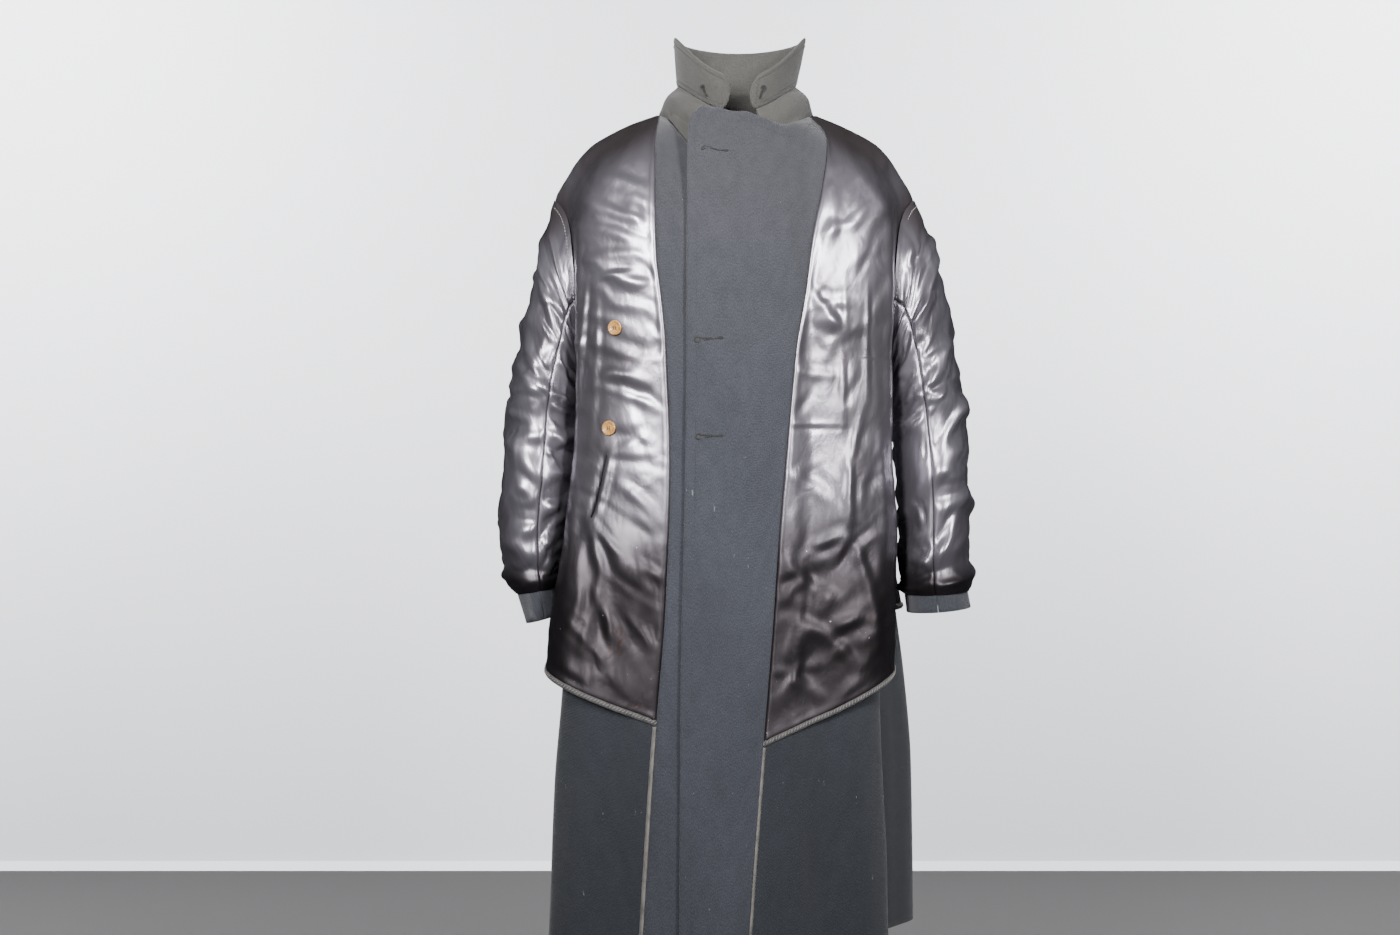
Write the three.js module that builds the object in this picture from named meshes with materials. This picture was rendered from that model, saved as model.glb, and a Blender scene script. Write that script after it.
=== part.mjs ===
import * as THREE from 'three';

// Military overcoat, worn inside out: the satin lining and the wool facings show, the collar stands up.
// Millimetres, +Z up. The front faces -Y, and +X is the wearer's left, where the front laps over.
// The origin is the middle of the neck, level with the points where the shoulders meet it.

// Cloth thicknesses and the gap at every seam.
const WOOL = 2.4;
const FACING = 1.9;
const SATIN = 1.2;
const COLLAR = 3.2;
const GAP = 0.3;

// How much thicker than the satin its folded binding is, and than the facing its tape is.
const BINDING_EXTRA = 0.8;
const TAPE_EXTRA = 0.4;

// Levels down the coat, from the neck seam at 0.
const SHOULDER_TIP = -112;
const UNDERARM = -318;
const HEM = -1062;
const BACK_LINING_HEM = -636;
const ARM_STEPS = 9;
const ARM_REACH = 0.14;

// How far the left front stands off the right one where they lap, and where it comes back to the body.
const LAP = 8;
const LAP_END = 60;
const LAP_BACK = 95;
const UNDER_EDGE = 54;

// Sections of the body's inside, one row a level. front and back are depths at the centre lines, corner and
// rear are where the section turns, with their depths, side is the half-width between them, and drop is how
// much lower the centre front or centre back lies than the level at the side.
const SECTIONS = [
  { level: 0, cornerR: 74, cornerL: 76, cornerY: 66, front: 100, sideR: 102, sideL: 104, rearR: 74, rearL: 74,
    rearY: 51, back: 69, dropFront: -80, dropBack: 10 },
  { level: -14, cornerR: 100, cornerL: 100, cornerY: 74, front: 104, sideR: 139, sideL: 138, rearR: 98, rearL: 98,
    rearY: 61, back: 84, dropFront: -76, dropBack: -2 },
  { level: -41, cornerR: 144, cornerL: 140, cornerY: 80, front: 113, sideR: 187, sideL: 185, rearR: 138,
    rearL: 138, rearY: 71, back: 98, dropFront: -73, dropBack: -11 },
  { level: -76, cornerR: 175, cornerL: 171, cornerY: 83, front: 122, sideR: 213, sideL: 211, rearR: 166,
    rearL: 166, rearY: 77, back: 107, dropFront: -67, dropBack: -19 },
  { level: -112, cornerR: 190, cornerL: 187, cornerY: 85, front: 127, sideR: 230, sideL: 228, rearR: 182,
    rearL: 182, rearY: 80, back: 111, dropFront: -60, dropBack: -22 },
  { level: -165, cornerR: 194, cornerL: 190, cornerY: 86, front: 130, sideR: 222, sideL: 220, rearR: 188,
    rearL: 188, rearY: 82, back: 113, dropFront: -46, dropBack: -18 },
  { level: -215, cornerR: 194, cornerL: 190, cornerY: 85, front: 131, sideR: 208, sideL: 206, rearR: 188,
    rearL: 188, rearY: 82, back: 113, dropFront: -30, dropBack: -12 },
  { level: -265, cornerR: 194, cornerL: 190, cornerY: 83, front: 131, sideR: 192, sideL: 190, rearR: 184,
    rearL: 184, rearY: 78, back: 112, dropFront: -14, dropBack: -6 },
  { level: -318, cornerR: 194, cornerL: 189, cornerY: 80, front: 130, sideR: 178, sideL: 176, rearR: 178,
    rearL: 178, rearY: 74, back: 110, dropFront: 0, dropBack: 0 },
  { level: -400, cornerR: 196, cornerL: 190, cornerY: 80, front: 129, sideR: 182, sideL: 181, rearR: 178,
    rearL: 182, rearY: 74, back: 108, dropFront: 0, dropBack: 0 },
  { level: -500, cornerR: 203, cornerL: 194, cornerY: 82, front: 129, sideR: 190, sideL: 188, rearR: 184,
    rearL: 194, rearY: 78, back: 112, dropFront: 0, dropBack: 0 },
  { level: -636, cornerR: 209, cornerL: 182, cornerY: 84, front: 131, sideR: 199, sideL: 184, rearR: 194,
    rearL: 212, rearY: 84, back: 120, dropFront: 0, dropBack: 0 },
  { level: -735, cornerR: 214, cornerL: 176, cornerY: 88, front: 133, sideR: 204, sideL: 172, rearR: 200,
    rearL: 226, rearY: 90, back: 128, dropFront: 0, dropBack: 0 },
  { level: -850, cornerR: 223, cornerL: 183, cornerY: 92, front: 138, sideR: 211, sideL: 170, rearR: 206,
    rearL: 236, rearY: 97, back: 137, dropFront: 0, dropBack: 0 },
  { level: -1062, cornerR: 231, cornerL: 189, cornerY: 96, front: 146, sideR: 216, sideL: 170, rearR: 212,
    rearL: 240, rearY: 105, back: 150, dropFront: 0, dropBack: 0 },
];

// Hanging folds of the wool skirt: place round the body, half-width, depth outwards and the level they start at.
const SKIRT_FOLDS = [
  { around: -0.235, width: 0.034, depth: 5, start: -600 },
  { around: -0.15, width: 0.035, depth: -4, start: -640 },
  { around: 0.115, width: 0.03, depth: 3, start: -700 },
  { around: 0.19, width: 0.035, depth: -4, start: -640 },
  { around: -0.44, width: 0.03, depth: -9, start: -560 },
  { around: -0.72, width: 0.045, depth: 6, start: -560 },
  { around: -0.83, width: 0.04, depth: -8, start: -600 },
  { around: -0.92, width: 0.035, depth: 6, start: -660 },
  { around: 0.985, width: 0.03, depth: -7, start: -600 },
  { around: 0.9, width: 0.035, depth: 7, start: -620 },
  { around: 0.8, width: 0.04, depth: -7, start: -560 },
];

// Broad folds of the body's satin, from one place and level to another, each raised by depth.
const SATIN_FOLDS = [
  { a0: -0.21, l0: -70, a1: -0.13, l1: -125, width: 13, depth: 3.5 },
  { a0: -0.29, l0: -175, a1: -0.15, l1: -205, width: 13, depth: 3 },
  { a0: -0.27, l0: -345, a1: -0.13, l1: -330, width: 13, depth: 3 },
  { a0: -0.22, l0: -520, a1: -0.15, l1: -600, width: 15, depth: 4.5 },
  { a0: -0.27, l0: -560, a1: -0.25, l1: -690, width: 15, depth: 4 },
  { a0: -0.3, l0: -120, a1: -0.305, l1: -460, width: 11, depth: 3 },
  { a0: 0.17, l0: -60, a1: 0.13, l1: -150, width: 13, depth: 4 },
  { a0: 0.3, l0: -100, a1: 0.3, l1: -420, width: 12, depth: 3.5 },
  { a0: 0.13, l0: -250, a1: 0.2, l1: -270, width: 13, depth: 3.5 },
  { a0: 0.15, l0: -560, a1: 0.22, l1: -440, width: 17, depth: 4.5 },
  { a0: 0.1, l0: -680, a1: 0.19, l1: -590, width: 15, depth: 4 },
  { a0: 0.26, l0: -540, a1: 0.25, l1: -690, width: 15, depth: 4 },
  { a0: 0.62, l0: -330, a1: 0.86, l1: -300, width: 17, depth: 4 },
  { a0: 0.68, l0: -470, a1: 0.9, l1: -520, width: 17, depth: 4 },
  { a0: -0.64, l0: -340, a1: -0.88, l1: -310, width: 17, depth: 4 },
  { a0: -0.7, l0: -480, a1: -0.92, l1: -440, width: 17, depth: 4 },
  { a0: -0.74, l0: -130, a1: -0.86, l1: -210, width: 16, depth: 4 },
  { a0: 0.74, l0: -130, a1: 0.87, l1: -200, width: 16, depth: 4 },
  { a0: 0.995, l0: -250, a1: 0.995, l1: -610, width: 12, depth: 5 },
];

// Where the cloth's edges run down the fronts, as widths across from the middle.
const OVER_EDGE = [
  { level: 0, across: -40 }, { level: -14, across: -57 }, { level: -41, across: -59 },
  { level: -300, across: -59 }, { level: -500, across: -61.5 }, { level: -712, across: -66 },
  { level: -1062, across: -68 },
];
const OVER_FACING = [
  { level: 0, across: 94 }, { level: -20, across: 113 }, { level: -54, across: 106 },
  { level: -118, across: 93 }, { level: -205, across: 84 }, { level: -316, across: 70 },
  { level: -414, across: 61 }, { level: -533, across: 51 }, { level: -652, across: 43 },
  { level: -792, across: 32 }, { level: -934, across: 21 }, { level: -1062, across: 12 },
];
const UNDER_FACING = [
  { level: 0, across: -96 }, { level: -20, across: -101 }, { level: -150, across: -98 },
  { level: -220, across: -92 }, { level: -290, across: -87 }, { level: -450, across: -81.5 },
  { level: -630, across: -88 }, { level: -768, across: -99 }, { level: -850, across: -105 },
  { level: -1062, across: -118 },
];

// How far the lapping front's top stands above the neck seam, across the chest, and the level where that ends.
const LAP_RISE = [
  { across: -60, rise: 57 }, { across: -40, rise: 59 }, { across: -20, rise: 68 }, { across: 8, rise: 67 },
  { across: 31, rise: 52 }, { across: 62, rise: 21 }, { across: 90, rise: 0 },
];
const LAP_RISE_END = -76;

// The lining's lower edge on each front, from the facing to the side seam, and how far its corner hangs out.
const LINING_HEM = {
  right: { flare: 20, line: [{ share: 0, drop: -766 }, { share: 0.5, drop: -710 }, { share: 1, drop: -646 }] },
  left: { flare: 15, line: [{ share: 0, drop: -790 }, { share: 0.52, drop: -717 }, { share: 1, drop: -646 }] },
};
const FLARE_START = -440;
const BACK_FLARE = 7;
const BINDING = 6;
const TAPE_SHARE = 0.13;
const TAPE_START = 0.01;

// Sleeve sections over all their cloth: the outer and inner profile points, the fore-and-aft middle and the half-depth.
const SLEEVES = {
  right: [
    { outX: 243, outZ: -143, inX: 190, inZ: -323, midY: 2, depth: 66 },
    { outX: 253, outZ: -180, inX: 196, inZ: -332, midY: 3, depth: 71 },
    { outX: 262, outZ: -232, inX: 201, inZ: -348, midY: 4, depth: 76 },
    { outX: 276, outZ: -286, inX: 203, inZ: -370, midY: 5, depth: 79 },
    { outX: 288, outZ: -335, inX: 204, inZ: -396, midY: 5, depth: 80 },
    { outX: 294, outZ: -390, inX: 205, inZ: -430, midY: 4, depth: 79 },
    { outX: 300, outZ: -450, inX: 207, inZ: -470, midY: 1, depth: 77 },
    { outX: 303, outZ: -512, inX: 213, inZ: -518, midY: -2, depth: 73 },
    { outX: 299, outZ: -565, inX: 219, inZ: -560, midY: -1, depth: 67 },
    { outX: 288, outZ: -608, inX: 223, inZ: -598, midY: 1, depth: 61 },
    { outX: 274, outZ: -655, inX: 221, inZ: -640, midY: 3, depth: 58 },
  ],
  left: [
    { outX: 246, outZ: -141, inX: 190, inZ: -323, midY: 2, depth: 66 },
    { outX: 259, outZ: -180, inX: 196, inZ: -332, midY: 3, depth: 71 },
    { outX: 268, outZ: -228, inX: 201, inZ: -348, midY: 4, depth: 76 },
    { outX: 279, outZ: -286, inX: 203, inZ: -370, midY: 5, depth: 79 },
    { outX: 289, outZ: -335, inX: 205, inZ: -396, midY: 4, depth: 80 },
    { outX: 296, outZ: -392, inX: 207, inZ: -430, midY: 2, depth: 79 },
    { outX: 300, outZ: -450, inX: 211, inZ: -470, midY: -2, depth: 77 },
    { outX: 300, outZ: -512, inX: 214, inZ: -518, midY: -5, depth: 73 },
    { outX: 299, outZ: -565, inX: 215, inZ: -562, midY: -8, depth: 68 },
    { outX: 302, outZ: -603, inX: 216, inZ: -606, midY: -10, depth: 64 },
    { outX: 307, outZ: -632, inX: 219, inZ: -640, midY: -12, depth: 62 },
  ],
};
const SLEEVE_SATIN_END = { right: 0.925, left: 0.935 };
const SLEEVE_RINGS = 18;
const SLEEVE_WOOL_RINGS = 11;
const SLEEVE_SEAM_STEP = 5;
const SLEEVE_EASE = 1.8;
const SLEEVE_LAYERS = 5;
const ARMHOLE_BLEND = 0.16;

// Folds across each satin sleeve: share of the way down, angle round from the outside, rise with angle,
// half-angle they span, half-width along the sleeve and height.
const SLEEVE_FOLDS = [
  { down: 0.2, turn: 60, rise: 0.12, span: 70, width: 0.03, depth: 4 },
  { down: 0.31, turn: 20, rise: -0.1, span: 60, width: 0.03, depth: 4 },
  { down: 0.4, turn: 80, rise: 0.14, span: 60, width: 0.028, depth: 4.5 },
  { down: 0.5, turn: 50, rise: -0.12, span: 75, width: 0.03, depth: 4.5 },
  { down: 0.61, turn: 70, rise: 0.1, span: 60, width: 0.03, depth: 4 },
  { down: 0.7, turn: 30, rise: -0.1, span: 70, width: 0.028, depth: 4 },
  { down: 0.79, turn: 60, rise: 0.08, span: 80, width: 0.028, depth: 5 },
  { down: 0.87, turn: 20, rise: 0.03, span: 120, width: 0.025, depth: 6 },
  { down: 0.3, turn: 230, rise: 0.1, span: 60, width: 0.03, depth: 4 },
  { down: 0.47, turn: 250, rise: -0.1, span: 60, width: 0.03, depth: 4 },
  { down: 0.66, turn: 240, rise: 0.1, span: 60, width: 0.03, depth: 4 },
  { down: 0.82, turn: 250, rise: -0.06, span: 70, width: 0.028, depth: 5 },
];

// Collar rings above the neck seam, going up: half-width, middle, front and back depths, and the ring's level
// at the side, the centre front and the centre back.
const STAND = [
  { half: 95, mid: 2, front: 83, back: 69, side: 16, centreFront: -46, centreBack: 23 },
  { half: 88.5, mid: 2, front: 88, back: 66, side: 29, centreFront: -24, centreBack: 32 },
  { half: 77, mid: 2, front: 86, back: 62, side: 40, centreFront: -6, centreBack: 40 },
];
const LEAF = [
  { half: 77, mid: 2, front: 87, back: 62, side: 40.2, centreFront: -5.3, centreBack: 40.2 },
  { half: 81, mid: 4, front: 92, back: 67, side: 68, centreFront: 16, centreBack: 66 },
  { half: 86, mid: 6, front: 95, back: 73, side: 104, centreFront: 36, centreBack: 100 },
];
const LEAF_TIPS = { right: -8.5, left: 9.5 };
const LEAF_TIP_ROUND = 9;
const STAND_END = 18;
const STAND_ROWS = 4;
const NECK_INSET = { side: 1, front: 3.1 };
const NECK_LIFT = 0.7;

// Two sewn buttons on the right lining: across and up from the origin.
const BUTTONS = [
  { name: 'button_upper', across: -149, up: -272 },
  { name: 'button_lower', across: -156.5, up: -404 },
];
const BUTTON_RADIUS = 9.3;
const BUTTON_THICK = 3.2;
const BUTTON_SEAT = 0.5;

const wool = new THREE.MeshStandardMaterial({ color: 0x4c5153, roughness: 0.95, metalness: 0 });
const facingWool = new THREE.MeshStandardMaterial({ color: 0x62676b, roughness: 0.93, metalness: 0 });
const collarWool = new THREE.MeshStandardMaterial({ color: 0x6a6a66, roughness: 0.93, metalness: 0 });
const satin = new THREE.MeshStandardMaterial({ color: 0x6f6a6d, roughness: 0.35, metalness: 0.3 });
const tape = new THREE.MeshStandardMaterial({ color: 0x8b8985, roughness: 0.7, metalness: 0 });
const horn = new THREE.MeshStandardMaterial({ color: 0xb98238, roughness: 0.35, metalness: 0 });

const clamp01 = (x) => Math.min(1, Math.max(0, x));
const smooth = (x) => clamp01(x) ** 2 * (3 - 2 * clamp01(x));
const mix = (a, b, share) => a + (b - a) * share;

// Smooth, monotone interpolation of one column of a table along another.
function column(table, along, key, at) {
  const xs = table.map((row) => row[along]);
  const ys = table.map((row) => row[key]);
  const falling = xs[0] > xs[xs.length - 1];
  const x = falling ? xs.map((v) => -v) : xs;
  const p = Math.min(x[x.length - 1], Math.max(x[0], falling ? -at : at));
  const slopes = x.slice(1).map((v, i) => (ys[i + 1] - ys[i]) / (v - x[i]));
  const tangent = (i) => {
    if (i === 0) return slopes[0];
    if (i === x.length - 1) return slopes[i - 1];
    const product = slopes[i - 1] * slopes[i];
    return product <= 0 ? 0 : (2 * product) / (slopes[i - 1] + slopes[i]);
  };
  let i = 0;
  while (i < x.length - 2 && p > x[i + 1]) i += 1;
  const step = x[i + 1] - x[i];
  const s = (p - x[i]) / step;
  const a = (1 + 2 * s) * (1 - s) ** 2;
  const b = s * (1 - s) ** 2;
  return a * ys[i] + b * step * tangent(i) + (1 - a) * ys[i + 1] + s * s * (s - 1) * step * tangent(i + 1);
}

const sectionCache = new Map();
function section(level) {
  if (!sectionCache.has(level)) {
    const row = {};
    for (const key of Object.keys(SECTIONS[0])) row[key] = column(SECTIONS, 'level', key, level);
    sectionCache.set(level, row);
  }
  return sectionCache.get(level);
}

// Turning points of one half of a section, from the centre front to the centre back.
function turningPoint(row, index) {
  const k = Math.abs(index);
  const hand = index < 0 ? 'R' : 'L';
  const corner = row[`corner${hand}`];
  const side = row[`side${hand}`];
  const rear = row[`rear${hand}`];
  const fall = row.front - row.cornerY;
  const rise = row.back - row.rearY;
  const points = [
    [0, -row.front],
    [0.36 * corner, -(row.front - 0.06 * fall)],
    [0.74 * corner, -(row.front - 0.38 * fall)],
    [corner, -row.cornerY],
    [mix(side, corner, 0.55), -0.45 * row.cornerY],
    [side, 0],
    [mix(side, rear, 0.55), 0.5 * row.rearY],
    [rear, row.rearY],
    [0.78 * rear, row.rearY + 0.55 * rise],
    [0.42 * rear, row.rearY + 0.92 * rise],
    [0, row.back],
  ];
  return [points[k][0] * Math.sign(index), points[k][1]];
}

const wrap = (index) => ((index + 30) % 20) - 10;

// The folds grow over this length below where they start.
const SKIRT_FOLD_GROWTH = 330;

function foldHeight(around, level) {
  let height = 0;
  for (const fold of SKIRT_FOLDS) {
    const away = Math.abs(around - fold.around);
    const near = Math.min(away, 2 - away) / fold.width;
    height += fold.depth * Math.exp(-near * near) * smooth((fold.start - level) / SKIRT_FOLD_GROWTH);
  }
  return height;
}

// A point of the body's inner face: around runs from 0 at the centre front to 1 or -1 at the centre back.
function smoothBody(around, level) {
  const row = section(level);
  const at = around * 10;
  const k = Math.floor(at);
  const s = at - k;
  const p = [k - 1, k, k + 1, k + 2].map((index) => turningPoint(row, wrap(index)));
  const blend = (axis) => 0.5 * (2 * p[1][axis] + (p[2][axis] - p[0][axis]) * s
    + (2 * p[0][axis] - 5 * p[1][axis] + 4 * p[2][axis] - p[3][axis]) * s * s
    + (3 * p[1][axis] - p[0][axis] - 3 * p[2][axis] + p[3][axis]) * s ** 3);
  const turn = Math.cos(Math.PI * around) ** 2;
  const inFront = Math.abs(wrapAround(around)) < 0.5;
  return new THREE.Vector3(blend(0), blend(1), level + turn * (inFront ? row.dropFront : row.dropBack));
}

const wrapAround = (around) => around - 2 * Math.round(around / 2);

function outward(surface, a, b, stepA, stepB) {
  const alongA = surface(a + stepA, b).sub(surface(a - stepA, b));
  const alongB = surface(a, b + stepB).sub(surface(a, b - stepB));
  return alongA.cross(alongB).normalize();
}

function onBody(around, level, off) {
  const normal = outward(smoothBody, around, level, 0.004, 1);
  return smoothBody(around, level).addScaledVector(normal, off + foldHeight(around, level));
}

// Where a width across from the middle falls round the front at one level.
function aroundAt(across, level) {
  const hand = Math.sign(across);
  const step = 0.005;
  let around = 0;
  while (Math.abs(smoothBody(hand * (around + step), level).x) < Math.abs(across) && around < 0.46) around += step;
  const here = Math.abs(smoothBody(hand * around, level).x);
  const next = Math.abs(smoothBody(hand * (around + step), level).x);
  const share = next > here ? clamp01((Math.abs(across) - here) / (next - here)) : 0;
  return hand * (around + step * share);
}

// The left front laps over the right one, and its top edge stands up in front of the collar.
function lapHeight(around, level) {
  return LAP * (1 - smooth((smoothBody(around, level).x - LAP_END) / (LAP_BACK - LAP_END)));
}

function onLeftFront(around, level, off) {
  const point = onBody(around, level, off + lapHeight(around, level));
  const share = clamp01(1 - level / LAP_RISE_END);
  point.z += share * column(LAP_RISE, 'across', 'rise', point.x);
  return point;
}

// Half-width, round the body, of the armhole at one level.
function armhole(level) {
  const middle = (SHOULDER_TIP + UNDERARM) / 2;
  const reach = (SHOULDER_TIP - UNDERARM) / 2;
  const share = (level - middle) / reach;
  return Math.abs(share) < 1 ? ARM_REACH * Math.sqrt(1 - share * share) : 0;
}

const armLevels = Array.from({ length: ARM_STEPS + 1 }, (_, i) => mix(UNDERARM, SHOULDER_TIP,
  (1 + Math.cos((Math.PI * i) / ARM_STEPS)) / 2));
const upperLevels = [0, -14, -41, -76];
const lowerLevels = [-356, -396, -436, -476, -516, -556, -596, -636];
const skirtLevels = [-676, -716, -766, -824, -882, -942, -1002, HEM];
const bodyLevels = [...upperLevels, ...armLevels, ...lowerLevels, ...skirtLevels];
const liningLevels = [...upperLevels, ...armLevels, ...lowerLevels];

// A closed wall over a grid: place(column, row, face) gives a point on its inner face 0 or outer face 1.
function wall(name, material, columns, rows, place) {
  const vertices = [];
  for (const face of [0, 1]) {
    for (let r = 0; r < rows; r += 1) {
      for (let c = 0; c < columns; c += 1) vertices.push(place(c, r, face));
    }
  }
  const id = (c, r, face) => (face * rows + r) * columns + c;
  const triangles = [];
  const quad = (a, b, c, d) => triangles.push(a, b, c, a, c, d);
  for (let r = 0; r < rows - 1; r += 1) {
    for (let c = 0; c < columns - 1; c += 1) {
      quad(id(c, r, 1), id(c, r + 1, 1), id(c + 1, r + 1, 1), id(c + 1, r, 1));
      quad(id(c, r, 0), id(c + 1, r, 0), id(c + 1, r + 1, 0), id(c, r + 1, 0));
    }
  }
  for (let r = 0; r < rows - 1; r += 1) {
    quad(id(0, r, 0), id(0, r + 1, 0), id(0, r + 1, 1), id(0, r, 1));
    quad(id(columns - 1, r, 1), id(columns - 1, r + 1, 1), id(columns - 1, r + 1, 0), id(columns - 1, r, 0));
  }
  for (let c = 0; c < columns - 1; c += 1) {
    quad(id(c, 0, 1), id(c + 1, 0, 1), id(c + 1, 0, 0), id(c, 0, 0));
    quad(id(c, rows - 1, 0), id(c + 1, rows - 1, 0), id(c + 1, rows - 1, 1), id(c, rows - 1, 1));
  }
  return solid(name, material, vertices, triangles);
}

// A mesh from points and triangles, turned so that its faces point out.
function solid(name, material, vertices, triangles) {
  let volume = 0;
  for (let i = 0; i < triangles.length; i += 3) {
    const [a, b, c] = [0, 1, 2].map((k) => vertices[triangles[i + k]]);
    volume += a.dot(new THREE.Vector3().crossVectors(b, c));
  }
  for (let i = 0; i < triangles.length && volume < 0; i += 3) {
    [triangles[i + 1], triangles[i + 2]] = [triangles[i + 2], triangles[i + 1]];
  }
  const geometry = new THREE.BufferGeometry();
  geometry.setAttribute('position', new THREE.Float32BufferAttribute(vertices.flatMap((v) => v.toArray()), 3));
  geometry.setIndex(triangles);
  const mesh = new THREE.Mesh(geometry, material);
  mesh.name = name;
  return mesh;
}

// Shares across a front from its facing to the side, closer together where the section turns.
const FRONT_SHARES = [0, 0.16, 0.32, 0.45, 0.57, 0.69, 0.84, 1];
const FACING_SHARES = [0, 0.34, 0.67, 1];
// Half a seam's gap as a share of the way round, wider at the neck where the way round is shorter.
const seamAt = (level) => mix(0.0006, 0.0003, smooth(-level / 60));

// The under front's free edge is narrower at the neck: its share there, and the length over which it grows.
const UNDER_EDGE_START = 0.72;
const UNDER_EDGE_GROWTH = 500;

// Places round the body of a front's columns, from its free edge through the facing's edge to the side seam.
const FRONTS = {
  left: {
    hand: 1,
    edge: (level) => aroundAt(column(OVER_EDGE, 'level', 'across', level), level),
    facing: (level) => aroundAt(column(OVER_FACING, 'level', 'across', level), level),
    lay: onLeftFront,
  },
  right: {
    hand: -1,
    edge: (level) => aroundAt(UNDER_EDGE * Math.min(1, UNDER_EDGE_START - level / UNDER_EDGE_GROWTH), level),
    facing: (level) => aroundAt(column(UNDER_FACING, 'level', 'across', level), level),
    lay: onBody,
  },
};

function sideSeam(front, level) {
  return front.hand * (0.5 - armhole(level) - seamAt(level));
}

const WOOL_SHARES = [...FACING_SHARES.slice(0, -1), ...FRONT_SHARES];

function frontVertex(side, c, level, off) {
  const front = FRONTS[side];
  const around = c < FACING_SHARES.length - 1
    ? mix(front.edge(level), front.facing(level), WOOL_SHARES[c])
    : mix(front.facing(level), sideSeam(front, level), WOOL_SHARES[c]);
  return front.lay(around, level, off);
}

function frontWool(side) {
  return wall(`front_${side}`, wool, WOOL_SHARES.length, bodyLevels.length, (c, r, face) => (
    frontVertex(side, c, bodyLevels[r], face * WOOL)));
}

function frontFacing(side) {
  const front = FRONTS[side];
  return wall(`facing_${side}`, facingWool, FACING_SHARES.length, bodyLevels.length, (c, r, face) => {
    const level = bodyLevels[r];
    const far = front.facing(level) - front.hand * seamAt(level);
    return front.lay(mix(front.edge(level), far, FACING_SHARES[c]), level, WOOL + GAP + face * FACING);
  });
}

// Half the way round the chest, which turns shares round the body into millimetres.
const HALF_GIRTH = 640;

// Height of the satin's broad folds over the wool.
function satinHeight(around, level) {
  let height = 0;
  for (const fold of SATIN_FOLDS) {
    const ends = [(fold.a1 - fold.a0) * HALF_GIRTH, fold.l1 - fold.l0];
    const here = [(around - fold.a0) * HALF_GIRTH, level - fold.l0];
    const long = ends[0] ** 2 + ends[1] ** 2;
    const share = clamp01((here[0] * ends[0] + here[1] * ends[1]) / long);
    const away = Math.hypot(here[0] - share * ends[0], here[1] - share * ends[1]) / fold.width;
    height = Math.max(height, fold.depth * Math.exp(-away * away) * Math.sin(Math.PI * mix(0.12, 0.88, share)));
  }
  return height;
}

// The front lining's lower rows slant down to the facing, and its side corner hangs clear of the skirt.
function liningDrop(side, share) {
  return column(LINING_HEM[side].line, 'share', 'drop', share);
}

function liningPoint(side, share, level, off) {
  const front = FRONTS[side];
  const near = front.facing(level) + front.hand * seamAt(level);
  const around = mix(near, sideSeam(front, level), share);
  const hem = liningDrop(side, share);
  const spread = smooth(share * 2.2) * (1 - 0.75 * smooth((share - 0.68) / 0.32));
  const flare = LINING_HEM[side].flare * spread * smooth((FLARE_START - level) / (FLARE_START - hem));
  const edge = smooth(share * 8) * smooth((1 - share) * 8) * smooth(-level / 30) * smooth((level - hem) / 20);
  return front.lay(around, level, WOOL + GAP + off + flare + edge * satinHeight(around, level));
}

const HEM_ROWS = 3;

function frontLining(side) {
  const rows = liningLevels.length + HEM_ROWS;
  return wall(`lining_front_${side}`, satin, FRONT_SHARES.length, rows, (c, r, face) => {
    const share = FRONT_SHARES[c];
    const beyond = r - liningLevels.length + 1;
    const last = liningLevels[liningLevels.length - 1];
    const level = beyond > 0 ? mix(last, liningDrop(side, share), beyond / HEM_ROWS) : liningLevels[r];
    return liningPoint(side, share, level, face * SATIN);
  });
}

function frontBinding(side) {
  return wall(`hem_binding_${side}`, tape, FRONT_SHARES.length, 2, (c, r, face) => {
    const share = FRONT_SHARES[c];
    const level = liningDrop(side, share) - GAP - r * BINDING;
    return liningPoint(side, share, level, face * (SATIN + BINDING_EXTRA));
  });
}

// A point over the wool's own grid, straight between its columns and rows.
function overWool(side, columnAt, level, off) {
  const row = bodyLevels.findIndex((low, i) => level <= low && level >= bodyLevels[i + 1]);
  const down = (bodyLevels[row] - level) / (bodyLevels[row] - bodyLevels[row + 1]);
  const c = Math.floor(columnAt);
  const corner = (dc, dr) => frontVertex(side, c + dc, bodyLevels[row + dr], off);
  const upper = corner(0, 0).lerp(corner(1, 0), columnAt - c);
  return upper.lerp(corner(0, 1).lerp(corner(1, 1), columnAt - c), down);
}

// A tape that binds the facing's free edge below the lining.
function facingTape(side) {
  const top = liningDrop(side, 0) - BINDING - 2 * GAP;
  const levels = [top, ...skirtLevels.filter((level) => level < top)];
  const first = FACING_SHARES.length - 1;
  return wall(`facing_tape_${side}`, tape, 2, levels.length, (c, r, face) => (
    overWool(side, first + (c ? TAPE_SHARE : TAPE_START), levels[r], WOOL + GAP + face * (FACING + TAPE_EXTRA))));
}

const BACK_STEPS = 9;

function backAround(hand, level, share) {
  return hand * mix(0.5 + armhole(level) + seamAt(level), 1 - seamAt(level), share);
}

function backWool(side) {
  const hand = FRONTS[side].hand;
  return wall(`back_${side}`, wool, BACK_STEPS + 1, bodyLevels.length, (c, r, face) => {
    const share = hand > 0 ? c / BACK_STEPS : 1 - c / BACK_STEPS;
    return onBody(backAround(hand, bodyLevels[r], share), bodyLevels[r], face * WOOL);
  });
}

function backLiningPoint(c, level, off) {
  const hand = c <= BACK_STEPS ? 1 : -1;
  const share = c <= BACK_STEPS ? c / BACK_STEPS : 2 - c / BACK_STEPS;
  const around = c === BACK_STEPS ? 1 : backAround(hand, level, share);
  const flare = BACK_FLARE * smooth((FLARE_START - level) / (FLARE_START - BACK_LINING_HEM));
  const edge = smooth(share * 8) * smooth(-level / 30) * smooth((level - BACK_LINING_HEM) / 20);
  const rise = edge * satinHeight(around, level);
  return onBody(around, level, WOOL + GAP + off + flare + rise);
}

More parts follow.
